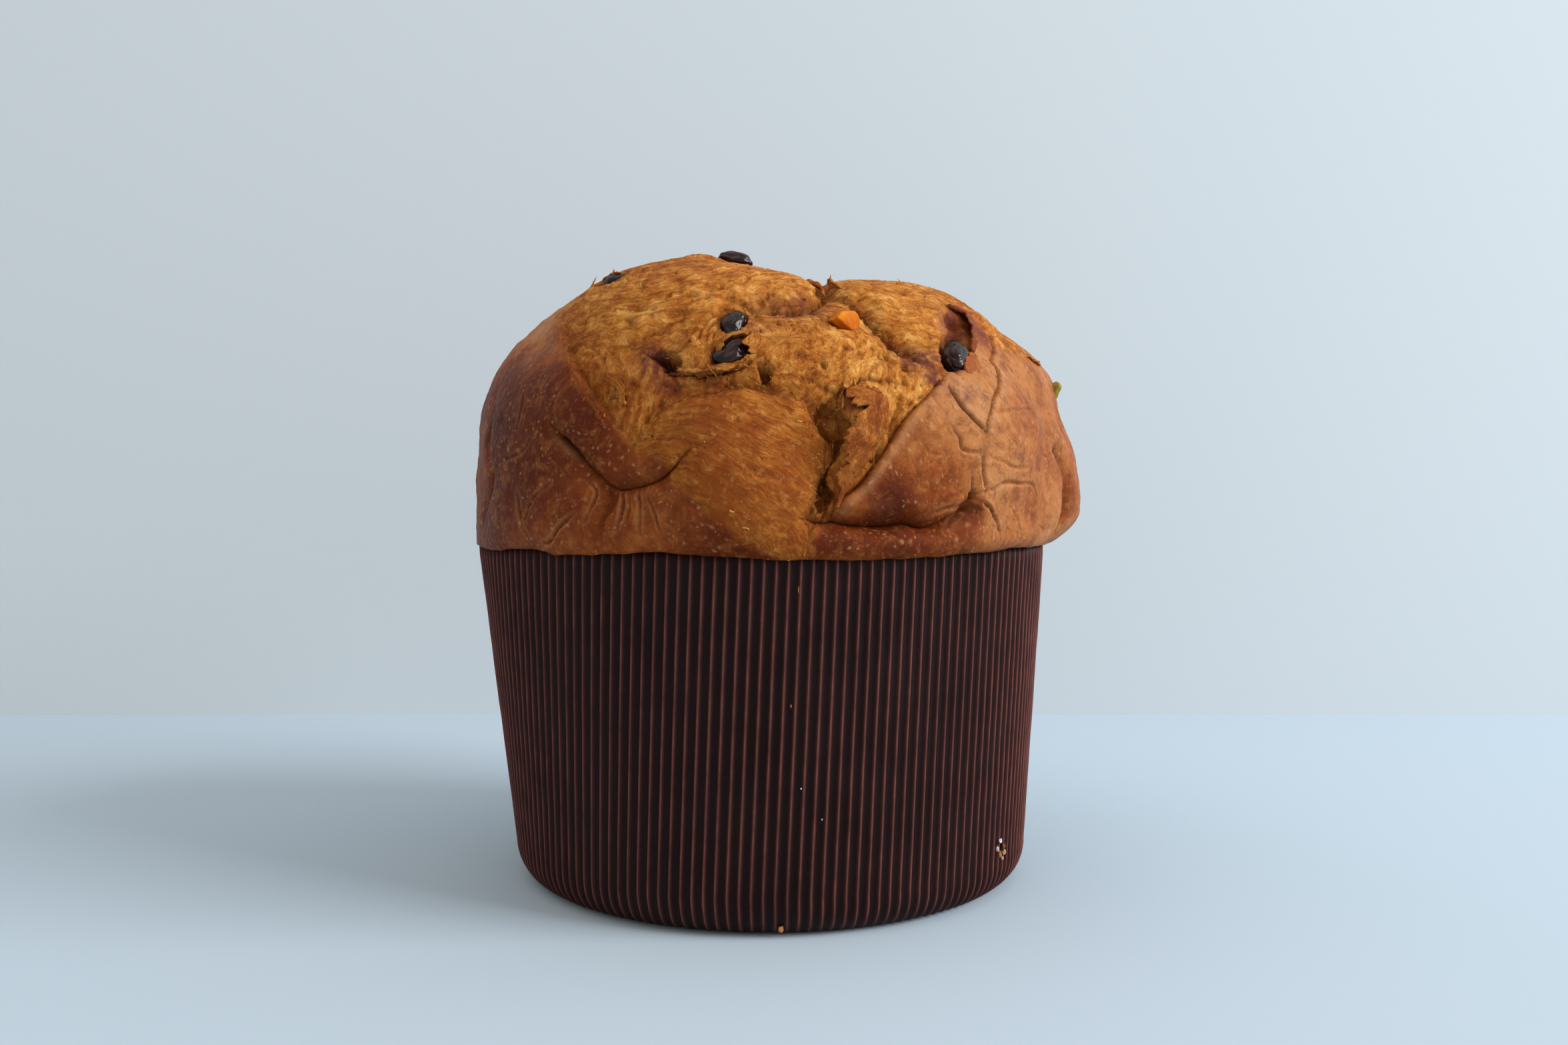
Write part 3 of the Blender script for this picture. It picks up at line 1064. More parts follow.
# Crumb closes round each piece of fruit, so the surface is pressed down under it.
SOCKET_ROOM = {"raisin": 1.05, "peel": 1.12, "citron": 1.12}  # width of the bed to that of the fruit
socket = np.zeros(len(points))
for kind, az, lat, length, width, thickness, turn_by, sink in FRUIT.values():
    place = np.array(seat(az, lat, turn_by, sink).inverted())
    local = (np.c_[finished * MM, np.ones(len(finished))] @ place.T)[:, :3] / MM
    reach = np.array([length, width, thickness]) / 2 * SOCKET_ROOM[kind]
    span = (local[:, 0] / reach[0]) ** 2 + (local[:, 1] / reach[1]) ** 2
    bed = -reach[2] * np.sqrt(np.clip(1 - span, 0, 1)) * 0.9
    under = (span < 1.0) & (np.abs(local[:, 2]) < 12)
    drop = np.where(under, np.minimum(bed - local[:, 2], 0.0), 0.0)
    normal = np.array(Matrix(place.tolist()).inverted().to_3x3() @ Vector((0, 0, 1)))
    finished += normal * drop[:, None]
    near = np.abs(local[:, 2]) < 14
    socket = np.maximum(socket, near * (1 - smoothstep(0.9, 2.0, span)))

# The core inside the case, from the groove over the rim down to the middle of the base.
inner = FLUTE_DEPTH / 2 + PAPER_THICKNESS + GAP + 0.0006
floor = PAPER_THICKNESS + GAP
core = [
    (LIP_INSIDE * MM, CASE_HEIGHT + GAP),
    (RIM_RADIUS - inner, CASE_HEIGHT + GAP),
    (WALL_RADIUS - inner, FOOT_HEIGHT + floor),
    (FOOT_RADIUS - inner, floor),
    (0.02, floor),
]
ring_azimuth = np.radians(azimuth[rim])
rows = [finished * MM]
for radius, level in core:
    rows.append(round_points(radius, ring_azimuth, level) + [CASE_LEAN * level / CASE_HEIGHT, 0.0, 0.0])
corners = np.concatenate([*rows, [[0.0, 0.0, floor]]])
loops = row_loops(rim.tolist(), len(finished), len(core))
faces += bands(loops)
middle = len(corners) - 1
faces += [(a, middle, b) for a, b in zip(loops[-1], loops[-1][1:] + loops[-1][:1])]


def smooth_body(name, points, faces):
    """A closed mesh from points and faces, smooth and with its faces turned outwards."""
    mesh = bpy.data.meshes.new(name)
    mesh.from_pydata(points.tolist(), [], faces)
    shape = bmesh.new()
    shape.from_mesh(mesh)
    point_outwards(shape, mesh)
    mesh.shade_smooth()
    return mesh


mesh = smooth_body("baked_loaf", corners, faces)
hidden = len(corners) - len(finished)
paint = {"crumb": crumb, "pits": pits * crumb, "toast": toast, "stain": stain}
paint |= {"socket": socket, "fold": fold_shade, "rim": rim_shade}
for name, values in paint.items():
    store(mesh, name, np.r_[values, np.zeros(hidden)])
store(mesh, "strand", np.concatenate([strand, np.zeros((hidden, 3))]))

crust_finish, tree, shader = new_material("baked_crust_and_crumb")
place = object_place(tree)


def stretched(where, x, y):
    return node(
        where.id_data, "ShaderNodeVectorMath", {"operation": "MULTIPLY"}, i0=where, i1=(x, y, 1.0)
    ).outputs[0]


def window(value, low, high):
    """A soft step from 0 at low to 1 at high, or down again if low is above high."""
    ends = ((low, (0, 0, 0)), (high, (1, 1, 1))) if low < high else ((high, (1, 1, 1)), (low, (0, 0, 0)))
    return ramp(value, *ends)


def cells_at(where, scale, channel):
    """Random cells: the distance from the middle of each, and a number of its own."""
    cells = node(tree, "ShaderNodeTexVoronoi", Vector=where, Scale=scale)
    own = node(tree, "ShaderNodeSeparateColor", i0=cells.outputs["Color"]).outputs[channel]
    return cells.outputs["Distance"], own


# Crust: chestnut, finely mottled, netted with fine creases, and freckled with tiny pale blisters.
drift = node(tree, "ShaderNodeTexNoise", Vector=place, Scale=160.0, Detail=2.0).outputs["Color"]
warp = node(
    tree, "ShaderNodeVectorMath", {"operation": "MULTIPLY_ADD"}, i0=drift, i1=(0.005, 0.005, 0.005), i2=place
)
warp = warp.outputs[0]
toasting = times_plus(painted(tree, "toast"), -0.24, times_plus(noise_at(place, 32.0, 5.0, 0.6), 0.55, 0.225))
crust = ramp(
    toasting, (0.22, (0.070, 0.0085, 0.0015)), (0.36, (0.135, 0.0200, 0.0030)),
    (0.50, (0.290, 0.064, 0.0105)), (0.62, (0.450, 0.158, 0.044)), (0.76, (0.560, 0.250, 0.095)),
)
mottle = noise_at(warp, 320.0, 8.0, 0.76)
cloudy = noise_at(warp, 120.0, 8.0, 0.72)
for pattern, low, high, share, colour in (
    (cloudy, 0.50, 0.64, 0.50, (0.130, 0.022, 0.0055)),
    (cloudy, 0.47, 0.34, 0.30, (0.540, 0.185, 0.035)),
    (mottle, 0.52, 0.64, 0.26, (0.560, 0.220, 0.055)),
    (mottle, 0.49, 0.38, 0.50, (0.130, 0.024, 0.006)),
):
    crust = blend(times(window(pattern, low, high), share), crust, colour)
apart, lone = cells_at(warp, 560.0, 0)
freckle = times(window(apart, 0.36, 0.12), window(lone, 0.30, 0.95))
apart, lone = cells_at(place, 230.0, 2)
blister = times(window(apart, 0.24, 0.10), window(lone, 0.62, 0.95))
apart, lone = cells_at(place, 75.0, 1)
ring = times(times(window(apart, 0.07, 0.11), window(apart, 0.17, 0.12)), window(lone, 0.78, 0.82))
cells = node(
    tree, "ShaderNodeTexVoronoi", {"feature": "DISTANCE_TO_EDGE"}, Vector=warp, Scale=130.0
).outputs["Distance"]
netted = times(window(cells, 0.06, 0.0), window(noise_at(place, 60.0, 2.0, 0.6), 0.44, 0.60))
for pattern, share, colour in (
    (freckle, 0.46, (0.620, 0.320, 0.145)),
    (blister, 0.40, (0.560, 0.270, 0.110)),
    (ring, 0.38, (0.560, 0.250, 0.100)),
    (netted, 0.12, (0.150, 0.032, 0.010)),
    (painted(tree, "rim"), 0.40, (0.620, 0.300, 0.130)),
):
    crust = blend(times(pattern, share), crust, colour)

# Crumb: golden and wispy, drawn out into short fibres, with redder veins and dark pores.
swirl = times_plus(noise_at(place, 150.0, 3.0, 0.5), 5.0, times(noise_at(place, 520.0, 3.0, 0.6), 1.6))
swirl = node(tree, "ShaderNodeCombineXYZ", X=0.0, Y=swirl, Z=0.0).outputs[0]
strand_place = node(
    tree, "ShaderNodeVectorMath", {"operation": "ADD"}, i0=painted(tree, "strand", "Vector"), i1=swirl
).outputs[0]
streaks = noise_at(stretched(strand_place, 0.10, 0.50), 1.0, 8.0, 0.72, 0.5)
threads = noise_at(stretched(strand_place, 0.34, 1.9), 1.0, 6.0, 0.70, 0.6)
wisps = noise_at(stretched(strand_place, 0.20, 0.95), 1.0, 8.0, 0.74, 1.2)
sponge = noise_at(place, 380.0, 5.0, 0.66)
broad = noise_at(place, 46.0, 4.0, 0.6)
cloud = noise_at(place, 150.0, 9.0, 0.74, 0.4)
blurred = times_plus(streaks, 0.35, times_plus(cloud, 0.4, times(wisps, 0.25)))
crumb_colour = ramp(
    times_plus(painted(tree, "toast"), -0.032, blurred),
    (0.42, (0.190, 0.038, 0.005)),
    (0.475, (0.350, 0.092, 0.011)),
    (0.53, (0.550, 0.190, 0.026)),
    (0.60, (0.820, 0.400, 0.100)),
)
crumb_colour = blend(times(window(threads, 0.48, 0.36), 0.40), crumb_colour, (0.280, 0.068, 0.014))
crumb_colour = blend(times(window(threads, 0.55, 0.66), 0.40), crumb_colour, (0.760, 0.400, 0.130))
richer = times_plus(painted(tree, "toast"), 0.6, times(window(broad, 0.42, 0.70), 0.5))
crumb_colour = blend(richer, crumb_colour, (0.250, 0.054, 0.007))
crumb_colour = blend(times(window(sponge, 0.56, 0.72), 0.35), crumb_colour, (0.780, 0.390, 0.110))
pores = window(noise_at(stretched(strand_place, 0.42, 0.80), 1.0, 4.0, 0.6, 0.8), 0.660, 0.70)
crumb_colour = blend(times(pores, 0.7), crumb_colour, (0.110, 0.026, 0.008))
crumb_colour = blend(times(painted(tree, "pits"), 0.35), crumb_colour, (0.220, 0.055, 0.014))

torn = painted(tree, "crumb")
baked = blend(torn, crust, crumb_colour)
for name, share, colour in (
    ("stain", 0.8, (0.105, 0.016, 0.028)),
    ("socket", 0.45, (0.130, 0.030, 0.010)),
    ("fold", 0.70, (0.120, 0.026, 0.006)),
):
    baked = blend(times(painted(tree, name), share), baked, colour)
rough_crust = times_plus(mottle, 0.24, 0.34)
wire(shader, Base_Color=baked, Roughness=times_plus(torn, 0.28, rough_crust), Specular_IOR_Level=0.08)

crust_relief, crumb_relief = times(mottle, 0.8), times(threads, 0.35)
for pattern, height in ((freckle, 0.30), (ring, 0.4), (netted, -0.35), (cloudy, 3.4)):
    crust_relief = times_plus(pattern, height, crust_relief)
for pattern, height in ((wisps, 1.4), (sponge, 1.5), (cloud, 2.2), (pores, -0.9)):
    crumb_relief = times_plus(pattern, height, crumb_relief)
relief = times_plus(torn, maths("SUBTRACT", crumb_relief, crust_relief), crust_relief)
wire(shader, Normal=bumped(relief, 0.8, 0.0005))

baked_loaf = link_piece("baked_loaf", mesh, crust_finish)
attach(baked_loaf, "root")
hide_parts("loaf")


# ---------------------------------------------------------------------------------------------------
# Torn skins. Thin sheets of crumb and crust that lift off the loaf where it ripped open: the spongy
# lip over the front hollow, the ridge under the raisins, and the curl of crust above the right one.
# Each runs from a root in the crown to a ragged tip, in azimuth, latitude and lift.

SKINS = [
    # root, tip, thickness, bulge, raggedness, crumb, toast, stain
    (
        [
            (16, 20, -1), (19, 18.5, -0.5), (20, 16, -0.5), (19, 12.5, -0.5), (18, 10, -0.5),
            (16.5, 7.5, -0.5), (15, 5.5, -0.5), (13.5, 3.5, -0.5), (12, 0, -1),
        ],
        [
            (11.8, 17.5, 1.6), (12.5, 15.7, 2.3), (13.5, 14, 2.8), (13.8, 12, 3.0), (13.5, 10.2, 3.0),
            (12.4, 8.4, 3.0), (11.2, 6.4, 2.8), (10.6, 4.2, 2.4), (11.3, 2.4, 2.2), (10.2, 0, 1.2),
        ],
        1.4, 0.5, 0.45, 1.0, 0.35, 0.15,
    ),
    (
        [(13.2, 18.6, -0.5), (12.5, 17.6, 0.3), (13, 16.6, -0.5)],
        [(11.9, 16.4, 1.8), (11.8, 14.6, 2.4), (12.5, 15.4, 2.0)], 0.6, 0.3, 0.3, 1.0, 0.3, 0.25,
    ),
    (
        [(-15.5, 23, -0.5), (-12, 22.8, 0), (-8, 22.8, 0), (-4, 23.2, 0), (-1.5, 24.6, -0.5)],
        [(-15, 21.7, 1.0), (-12, 21, 1.7), (-9, 21.4, 1.9), (-5, 21.6, 1.7), (-2.2, 23, 1.0)],
        0.9, 0.3, 0.6, 1.0, -0.4, 0.1,
    ),
    (
        [(-8.6, 23.6, 0.2), (-8.4, 25.2, 0.6), (-7.8, 27, 0.8), (-5.6, 28.3, 0.8), (-3, 28, 0.4)],
        [(-7.6, 24, 1.5), (-7.4, 25.2, 1.9), (-6.9, 26.3, 1.9), (-5.2, 27.3, 1.8), (-2.8, 27.3, 1.1)],
        0.5, 0.1, 0.9, 1.0, -0.5, 0.0,
    ),
    (
        [(-0.8, 28, -0.3), (0.2, 25.8, 0.2), (-0.6, 23.8, -0.3)],
        [(-2.6, 27.2, 1.6), (-3.2, 25.4, 2.2), (-3.8, 23.8, 1.6)], 0.6, 0.4, 0.5, 1.0, -0.5, 0.0,
    ),
    (
        [(44, 38, -1), (48, 36, 0), (48, 33, 0), (46, 29.5, -0.5), (43, 26.5, -1)],
        [(41, 35.2, 1.4), (43, 34, 2.4), (43, 31.8, 2.8), (42, 29.5, 2.6), (40.6, 27.5, 1.6)],
        1.8, 1.0, 0.22, 0.15, 0.2, 0.25,
    ),
    (
        [(43, 24.5, -1), (41, 22, -0.5), (37, 20.5, -1)],
        [(41, 27.8, 1.2), (38.4, 25.5, 1.7), (35.6, 23.3, 1.1)], 1.2, 0.6, 0.2, 0.2, 0.0, 0.1,
    ),
    (
        [(-48, 43.5, -1), (-44.5, 47, -0.5), (-39, 47.6, -1)],
        [(-46.5, 43.2, 1.4), (-43.5, 45.4, 1.8), (-39.8, 45.4, 1.0)], 0.8, 0.4, 0.5, 0.9, 0.2, 0.1,
    ),
    (
        [(-64, 62, -1), (-56, 65, -0.5), (-48, 69, -1)],
        [(-64, 63.5, 1.2), (-57, 66.5, 2.8), (-48, 70.5, 1.4)], 1.2, 0.3, 0.5, 1.0, 0.3, 0.2,
    ),
    (
        [(11, 53, -4), (14, 47, -3), (14, 43, -3)], [(12.5, 53, -2.4), (14.8, 47.5, -2.0), (14.6, 44, -2.2)],
        1.4, 0.3, 0.7, 1.0, -0.2, 0.0,
    ),
    (
        [(22, 53, -4), (20.5, 47, -3), (21, 43, -3)], [(20.5, 53, -2.2), (19, 48, -1.8), (19.8, 44.5, -2.2)],
        1.4, 0.3, 0.7, 1.0, -0.2, 0.0,
    ),
    (
        [(-48, 31.5, -1), (-41.6, 25.8, -0.6), (-35.6, 19.8, -0.5), (-30.6, 14.8, -0.5), (-26.4, 10.4, -1)],
        [(-45.8, 31.8, 0.0), (-39.7, 26.5, 0.35), (-33.7, 20.9, 0.5), (-28.7, 15.9, 0.5), (-24.9, 11.4, 0.0)],
        0.7, 0.1, 0.35, 0.3, 0.2, 0.0,
    ),
    (
        [(-29, 21, -1), (-26, 19, -0.5), (-24.5, 16, -1)],
        [(-27.5, 21.8, 0.3), (-24.6, 19.4, 0.5), (-23.2, 16.4, 0.2)], 0.7, 0.2, 0.5, 1.0, -0.3, 0.0,
    ),
    (
        [(64, 29.5, -1), (70, 29, -0.5), (74, 28, -1)], [(65, 27.8, 0.5), (70, 27.2, 0.9), (73.5, 26.4, 0.4)],
        0.9, 0.2, 0.4, 0.6, -0.6, 0.0,
    ),
    (
        [(156, 4, -1), (157, 14, 0), (154, 24, 0), (161, 38, -1)],
        [(150.5, 4, 1.6), (151.5, 13, 3.0), (148.5, 24, 3.0), (155.5, 39, 1.6)], 2.0, 1.0, 0.4, 1.0, 0.0, 0.2,
    ),
]
THREADS = [
    # path in azimuth, latitude and lift, then radius
    ([(68, 50, -1), (67.5, 51, 1.2), (66.5, 51.5, 2.4)], 0.40),
    ([(73, 48.5, -1), (73.5, 49.5, 1.0), (72, 50.5, 2.4)], 0.35),
    ([(56, 54, -1.6), (56.5, 55, 0.2), (55.5, 55.5, 1.0)], 0.35),
    ([(20, 50, -3), (19.6, 50.5, -1.4), (19.8, 51, -0.4)], 0.35),
    ([(-44, 46, 0.4), (-43, 46.6, 1.8), (-42, 46, 2.6)], 0.30),
    ([(-49, 43.5, 0.0), (-48.5, 44.5, 1.2), (-48.8, 45.5, 1.8)], 0.30),
    ([(-9.6, 22.4, 1.2), (-9, 21.4, 2.4), (-8, 20.4, 1.8), (-7.6, 19.8, 0.2)], 0.30),
]
SKIN_STEP = 0.55
SKIN_ROWS = 12
LOAF_MIDDLE = np.array([0.0, 0.0, 120.0])  # in mm: skins face away from it
THREAD_ROWS = 14
THREAD_SIDES = 7


def smooth_run(corners, count):
    """The same kind of curve through any corners, at even shares."""
    curve = smooth_corners(corners, 24)
    return np.stack(
        [np.interp(np.linspace(0, 1, count), np.linspace(0, 1, len(curve)), c) for c in curve.T], -1
    )


def on_crown(run):
    """Points at azimuth, latitude and lift over the lobes."""
    height, _ = lobe_heights(run[:, 0], run[:, 1])
    return raised(run[:, 0], run[:, 1], height + run[:, 2])


def skin_sheet(root, tip, thickness, bulge, ragged, seed):
    """A closed thin sheet from root to tip, as points, faces, and the way along and across it."""
    length = np.linalg.norm(np.diff(on_crown(np.array(tip, float)), axis=0), axis=1).sum()
    count = max(int(length / SKIN_STEP), 8)
    low, high = on_crown(smooth_run(root, count)), on_crown(smooth_run(tip, count))
    share = np.linspace(0, 1, SKIN_ROWS)[None, :, None]
    fine = [Vector((0.37 * k * SKIN_STEP, 0.23 * k * SKIN_STEP + 0.41, seed + 0.33)) for k in range(count)]
    broad = [Vector((0.13 * k * SKIN_STEP, 0.07 * k * SKIN_STEP + 0.27, seed + 0.61)) for k in range(count)]
    notch = (
        np.array([noise.fractal(at, 0.7, 2.1, 4) for at in fine])
        + 0.8 * np.array([noise.noise(at) for at in broad])
    )
    share = share * (1 + ragged * np.clip(notch, -1.2, 1.0))[:, None, None]
    ends = np.sin(np.pi * np.linspace(0.06, 0.94, count)) ** 0.5
    share = share * (0.35 + 0.65 * ends)[:, None, None]
    grid = low[:, None] + (high - low)[:, None] * share
    ahead, over = np.gradient(grid, axis=0), np.gradient(grid, axis=1)
    facing = np.cross(ahead, over)
    facing /= np.linalg.norm(facing, axis=2, keepdims=True) + 1e-9
    if np.einsum("ijk,ijk->", facing, grid - LOAF_MIDDLE) < 0:
        facing = -facing
    rough = np.array(
        [[noise.fractal(Vector(p) / 2.2 + Vector((seed, 0, 0)), 0.8, 2.0, 3) for p in row] for row in grid]
    )
    bend = np.sin(np.pi * np.clip(share, 0, 1)) * bulge
    upper = grid + facing * (bend + 0.55 * rough[..., None])
    thick = thickness * (1 - np.clip(share, 0, 1)) ** 0.7 + 0.22
    lower = upper - facing * thick
    index = np.arange(count * SKIN_ROWS).reshape(count, SKIN_ROWS)
    other = index + count * SKIN_ROWS
    faces = []
    for i in range(count - 1):
        for j in range(SKIN_ROWS - 1):
            faces.append((index[i, j], index[i + 1, j], index[i + 1, j + 1], index[i, j + 1]))
            faces.append((other[i, j], other[i, j + 1], other[i + 1, j + 1], other[i + 1, j]))
        for j, flip in ((0, 1), (SKIN_ROWS - 1, -1)):
            faces.append((index[i, j], other[i, j], other[i + 1, j], index[i + 1, j])[::flip])
    # The two ends of the sheet.
    for i, flip in ((0, -1), (count - 1, 1)):
        for j in range(SKIN_ROWS - 1):
            faces.append((index[i, j], other[i, j], other[i, j + 1], index[i, j + 1])[::flip])
    ways = np.stack(
        np.broadcast_arrays(np.arange(count)[:, None] * SKIN_STEP, share[..., 0] * 8.0, 900.0 + seed), -1
    )
    return np.concatenate(
        [upper.reshape(-1, 3), lower.reshape(-1, 3)]
    ), faces, np.tile(ways.reshape(-1, 3), (2, 1))


def thread_tube(path, radius, seed):
    """A tapering, wandering thread with closed ends."""
    last, sides, points, faces = THREAD_ROWS - 1, THREAD_SIDES, [], []
    centre = on_crown(smooth_run(path, THREAD_ROWS))
    for k, at in enumerate(centre):
        ahead = centre[min(k + 1, last)] - centre[max(k - 1, 0)]
        ahead /= np.linalg.norm(ahead)
        across = np.cross(ahead, [0.3, -0.8, 0.5])
        across /= np.linalg.norm(across)
        up = np.cross(ahead, across)
        size = radius * (1.25 - k / last) * (1 + 0.5 * noise.noise(Vector((k * 0.6, seed, 0))))
        for turn in np.arange(sides) / sides * math.tau:
            points.append(at + size * (math.cos(turn) * across + 0.6 * math.sin(turn) * up))
    for k in range(last):
        for side in range(sides):
            a, b = k * sides + side, k * sides + (side + 1) % sides
            faces.append((a, b, b + sides, a + sides))
    faces += [tuple(range(sides))[::-1], tuple(range(last * sides, THREAD_ROWS * sides))]
    ways = [(k * 0.1, 0.0, 950.0 + seed) for k in range(len(points))]
    return np.array(points), faces, np.array(ways)


corners, faces, ways, paint = [], [], [], {"crumb": [], "toast": [], "stain": []}
made = [(skin_sheet(*skin[:5], seed), skin[5:]) for seed, skin in enumerate(SKINS)]
made += [(thread_tube(path, radius, seed), (1.0, -0.6, 0.0)) for seed, (path, radius) in enumerate(THREADS)]
for (sheet, sheet_faces, sheet_ways), finish in made:
    start = sum(map(len, corners))
    corners.append(sheet * MM)
    faces += [tuple(int(v) + start for v in face) for face in sheet_faces]
    ways.append(sheet_ways)
    for name, value in zip(paint, finish):
        paint[name].append(np.full(len(sheet), value))
mesh = smooth_body("torn_skins", np.concatenate(corners), faces)
for name, values in paint.items():
    store(mesh, name, np.concatenate(values))
store(mesh, "strand", np.concatenate(ways))
torn_skins = link_piece("torn_skins", mesh, crust_finish)
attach(torn_skins, "root")


# ---------------------------------------------------------------------------------------------------
# Crumb wisps and specks. Short curled fibres and loose crumbs that cling where the dough tore, thickest
# along the torn edges. They are strewn over the crumb, and each stands on its surface.


def wisp_tree(finish):
    """Strews wisps and specks over torn crumb."""
    tree, given = node_tree(
        "strew_wisps", "Density", "Edge density", "Speck density", "Length", "Thickness", "Seed"
    )
    at = node(tree, "GeometryNodeInputPosition").outputs[0]
    crumb, fold = stored(tree, "crumb"), stored(tree, "fold")
    torn = maths("GREATER_THAN", crumb, 0.6)
    clumps = noise_at(at, 120.0, 3.0)
    clumps = maths("MAXIMUM", times_plus(clumps, 9.0, -4.9), 0.0)
    thick = times_plus(clumps, given["Density"], times(fold, given["Edge density"]))

    # One wisp: a curl that tapers, and lifts off at its tip.
    length = given["Length"]
    tip = node(tree, "ShaderNodeCombineXYZ", X=length, Y=times(length, -0.04), Z=times(length, 0.16))
    bend = node(tree, "ShaderNodeCombineXYZ", X=times(length, 0.5), Y=times(length, 0.11), Z=0.0)
    curl = node(
        tree,
        "GeometryNodeCurveQuadraticBezier",
        Resolution=4,
        Start=(0.0, 0.0, -0.0001),
        Middle=bend.outputs[0],
        End=tip.outputs[0],
    )
    along = node(tree, "GeometryNodeSplineParameter").outputs["Factor"]
    tapered = node(
        tree, "GeometryNodeSetCurveRadius", Curve=curl.outputs[0], Radius=times_plus(along, -0.8, 1.0)
    )
    profile = node(tree, "GeometryNodeCurvePrimitiveCircle", Resolution=4, Radius=given["Thickness"])
    round_wisp = node(
        tree,
        "GeometryNodeCurveToMesh",
        Curve=tapered.outputs[0],
        Profile_Curve=profile.outputs[0],
        Fill_Caps=True,
    )
    wisp = node(tree, "GeometryNodeTransform", Geometry=round_wisp.outputs[0], Scale=(1.0, 1.8, 0.7))

    speck = node(tree, "GeometryNodeMeshIcoSphere", Radius=0.00030, Subdivisions=1)
    strewn = []
    specks = times(clumps, given["Speck density"])
    for shape, density, number, big in (
        (wisp.outputs[0], thick, 1.0, 1.30), (speck.outputs[0], specks, 2.0, 1.40)
    ):
        seed = maths("ADD", given["Seed"], number)
        strew = node(
            tree,
            "GeometryNodeDistributePointsOnFaces",
            Mesh=given["Geometry"],
            Density=times(density, torn),
            Seed=seed,
        )
        spin = node(tree, "FunctionNodeRandomValue", {"data_type": "FLOAT_VECTOR"}, Seed=seed)
        spin.inputs[0].default_value, spin.inputs[1].default_value = (-0.18, -0.18, 0.0), (0.18, 0.18, 6.283)
        turned = node(
            tree,
            "FunctionNodeRotateRotation",
            {"rotation_space": "LOCAL"},
            i0=strew.outputs["Rotation"],
            i1=spin.outputs[0],
        )
        scale = node(
            tree, "FunctionNodeRandomValue", {"data_type": "FLOAT_VECTOR"}, Seed=maths("ADD", seed, 10.0)
        )
        scale.inputs[0].default_value, scale.inputs[1].default_value = (0.35, 0.35, 0.35), (big, big, big)
        placed = node(
            tree,
            "GeometryNodeInstanceOnPoints",
            Points=strew.outputs["Points"],
            Instance=shape,
            Rotation=turned.outputs[0],
            Scale=scale.outputs[0],
        )
        strewn.append(placed.outputs[0])
    joined = node(tree, "GeometryNodeJoinGeometry")
    for part in strewn:
        tree.links.new(part, joined.inputs[0])
    return end_tree(tree, joined.outputs[0], finish)


crumb_wisps = link_piece("crumb_wisps", baked_loaf.data.copy())
strew = crumb_wisps.modifiers.new("Strew", "NODES")
strew.node_group = wisp_tree(crust_finish)
set_inputs(
    strew,
    Density=50000.0,
    Edge_density=420000.0,
    Speck_density=60000.0,
    Length=0.0015,
    Thickness=0.00014,
    Seed=4,
)
mesh = modelled(crumb_wisps)
where = np.empty(len(mesh.vertices) * 3, np.float32)
mesh.vertices.foreach_get("co", where)
for name, value in (("crumb", 1.0), ("toast", -1.4), ("fold", 0.0), ("pits", 0.0)):
    store(mesh, name, np.full(len(mesh.vertices), value))
store(mesh, "strand", where.reshape(-1, 3) * 1000)
mesh.shade_smooth()
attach(crumb_wisps, "root")


# ---------------------------------------------------------------------------------------------------
# Fruit. Raisins are dried grapes, dark, wrinkled and faintly glossy. Candied peel is orange rind cut in
# dice, and citron is a greenish one, both softened by syrup. All are sunk about halfway or more.

FRUIT_LOOKS = {
    # scale of the pattern, its two colours, roughness, specular level and depth of the dents
    "raisin": (260.0, (0.005, 0.0022, 0.002), (0.034, 0.009, 0.007), 0.20, 0.30, 0.0),
    "peel": (220.0, (0.48, 0.105, 0.005), (0.66, 0.205, 0.012), 0.45, 0.03, 0.0004),
    "citron": (260.0, (0.22, 0.150, 0.012), (0.40, 0.260, 0.030), 0.40, 0.25, 0.0),
}
fruit_finishes = {}
for kind, (scale, dark, light, roughness, specular, dents) in FRUIT_LOOKS.items():
    fruit_finishes[kind], tree, shader = new_material(
        "raisin_skin" if kind == "raisin" else f"candied_{kind}"
    )
    tint = noise_at(object_place(tree), scale, 3.0)
    colour = ramp(tint, (0.35, dark), (0.70, light))
    wire(shader, Base_Color=colour, Roughness=roughness, Specular_IOR_Level=specular)
    if dents:
        wire(shader, Normal=bumped(tint, 0.5, dents))


def raisin_shape(size, seed):
    """A squashed ball with a few long folds pinched into it."""
    shape = bmesh.new()
    bmesh.ops.create_icosphere(shape, subdivisions=5, radius=0.5)
    for vertex in shape.verts:
        broad = noise.noise(vertex.co * 2.4 + Vector((seed, 0.0, 0.0)))
        long_way = Vector((vertex.co.x * 1.6, vertex.co.y * 2.4, vertex.co.z * 2.4))
        fold = max(1 - abs(noise.noise(long_way + Vector((0.0, seed, 3.0)))) * 3.2, 0)
        small = max(1 - abs(noise.noise(long_way * 2.3 + Vector((seed, 3.0, 3.0)))) * 3.0, 0)
        swell = 1 + 0.22 * broad - 0.10 * fold**2 - 0.018 * small**2
        vertex.co = Vector(c * s * MM * swell for c, s in zip(vertex.co, size))
    return shape


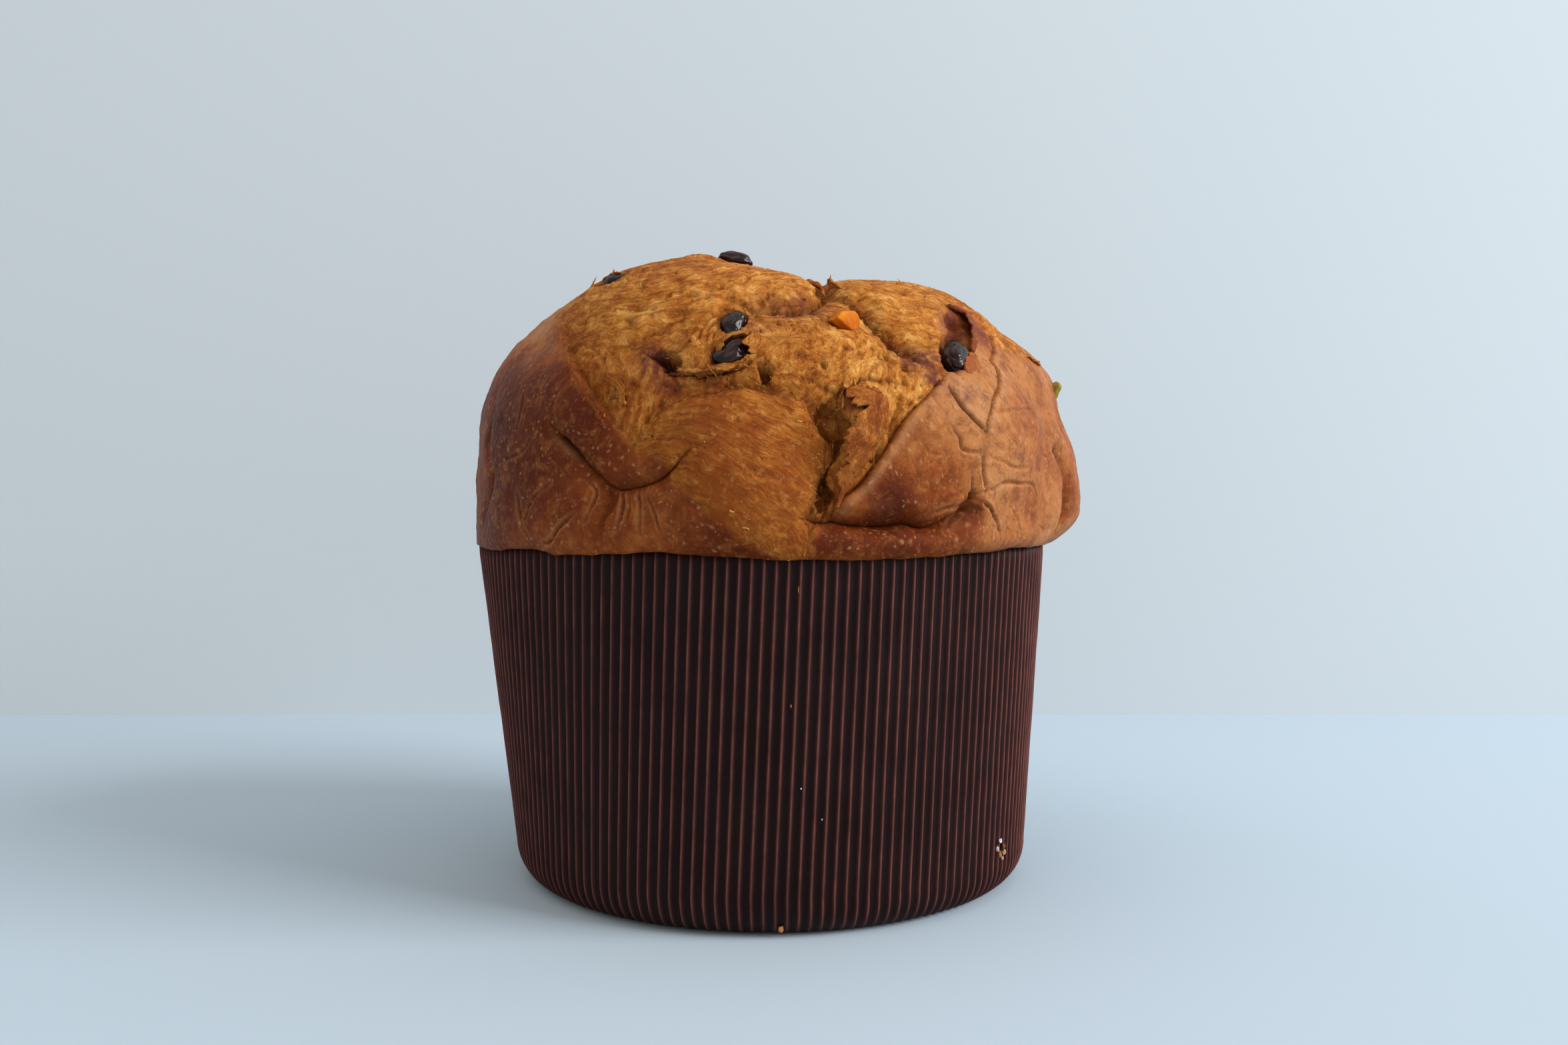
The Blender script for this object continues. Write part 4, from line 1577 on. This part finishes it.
def peel_shape(size, seed):
    """A chunk cut with flat sides, softened by syrup."""
    shape = bmesh.new()
    bmesh.ops.create_icosphere(shape, subdivisions=5, radius=0.5)
    turns = [(k * 2.4 + seed, k * 1.7 + seed) for k in range(7)]
    cuts = [Vector((math.cos(turn), math.sin(turn), math.sin(tilt))).normalized() for turn, tilt in turns]
    for vertex in shape.verts:
        way = vertex.co.normalized()
        reach = min([0.62] + [0.36 / max(way.dot(cut), 0.05) for cut in cuts])
        dent = 0.03 * noise.noise(way * 3.0 + Vector((seed, 0.0, 0.0)))
        vertex.co = Vector(c * s * MM for c, s in zip(way * (reach + dent), size))
    for _ in range(2):
        bmesh.ops.smooth_vert(
            shape, verts=shape.verts, factor=0.5, use_axis_x=True, use_axis_y=True, use_axis_z=True
        )
    return shape


for seed, (name, (kind, az, lat, length, width, thickness, turn_by, sink)) in enumerate(FRUIT.items()):
    shape = (raisin_shape if kind == "raisin" else peel_shape)((length, width, thickness), seed)
    shape.transform(seat(az, lat, turn_by, sink))
    mesh = bpy.data.meshes.new(f"{name}_fruit")
    point_outwards(shape, mesh)
    mesh.shade_smooth()
    piece = link_piece(f"{name}_fruit", mesh, fruit_finishes[kind])
    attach(piece, "root")
    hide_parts(name)


# ---------------------------------------------------------------------------------------------------
# The stage, which is no part of the object. A pale floor and wall, a large soft window light from the
# right, a weak light overhead, and the camera in front.

for name, size, place, tilt, colour in (
    ("floor", 4.0, (0.0, -0.5, -0.0002), 0.0, (0.495, 0.580, 0.660)),
    ("wall", 4.0, (0.0, 0.30, 0.9), math.pi / 2, (0.605, 0.655, 0.690)),
):
    bpy.ops.mesh.primitive_plane_add(size=size, location=place, rotation=(tilt, 0, 0))
    plane = bpy.context.object
    plane.name = name
    finish, tree, shader = new_material(f"{name}_paint")
    wire(shader, Base_Color=colour, Roughness=0.9, Specular_IOR_Level=0.1)
    if name == "wall":  # painted on its front only, so that it hides nothing from behind
        clear = node(tree, "ShaderNodeBsdfTransparent").outputs[0]
        behind = node(tree, "ShaderNodeNewGeometry").outputs["Backfacing"]
        sides = node(tree, "ShaderNodeMixShader", Fac=behind, i1=shader.outputs[0], i2=clear)
        wire(tree.nodes["Material Output"], Surface=sides.outputs[0])
    plane.data.materials.append(finish)

sky = bpy.data.worlds.new("room")
bpy.context.scene.world = sky
sky.use_nodes = True
wire(sky.node_tree.nodes["Background"], Color=(1.0, 0.965, 0.90), Strength=0.66)
for name, at, size, power, colour in (
    ("window", (3.0, -1.0, 1.7), 1.9, 136.0, (0.93, 0.97, 1.0)),
    ("ceiling", (-0.9, -0.6, 2.6), 2.4, 9.0, (1.0, 0.97, 0.93)),
):
    light = bpy.data.lights.new(name, "AREA")
    light.shape, light.size, light.energy, light.color = "SQUARE", size, power, colour
    lamp = bpy.data.objects.new(name, light)
    bpy.context.scene.collection.objects.link(lamp)
    lamp.location = at
    lamp.rotation_euler = (Vector((0, 0, 0.1)) - lamp.location).to_track_quat("-Z", "Y").to_euler()

bpy.context.scene.view_settings.view_transform = "Standard"
lens = bpy.data.cameras.new("camera")
lens.sensor_width, lens.lens, lens.clip_start = 36.0, 29.05, 0.01
camera = bpy.data.objects.new("camera", lens)
bpy.context.scene.collection.objects.link(camera)
camera.location = (0.0042, -0.440, 0.1224)
camera.rotation_euler = (math.radians(90 - 0.75), 0, 0)
bpy.context.scene.camera = camera
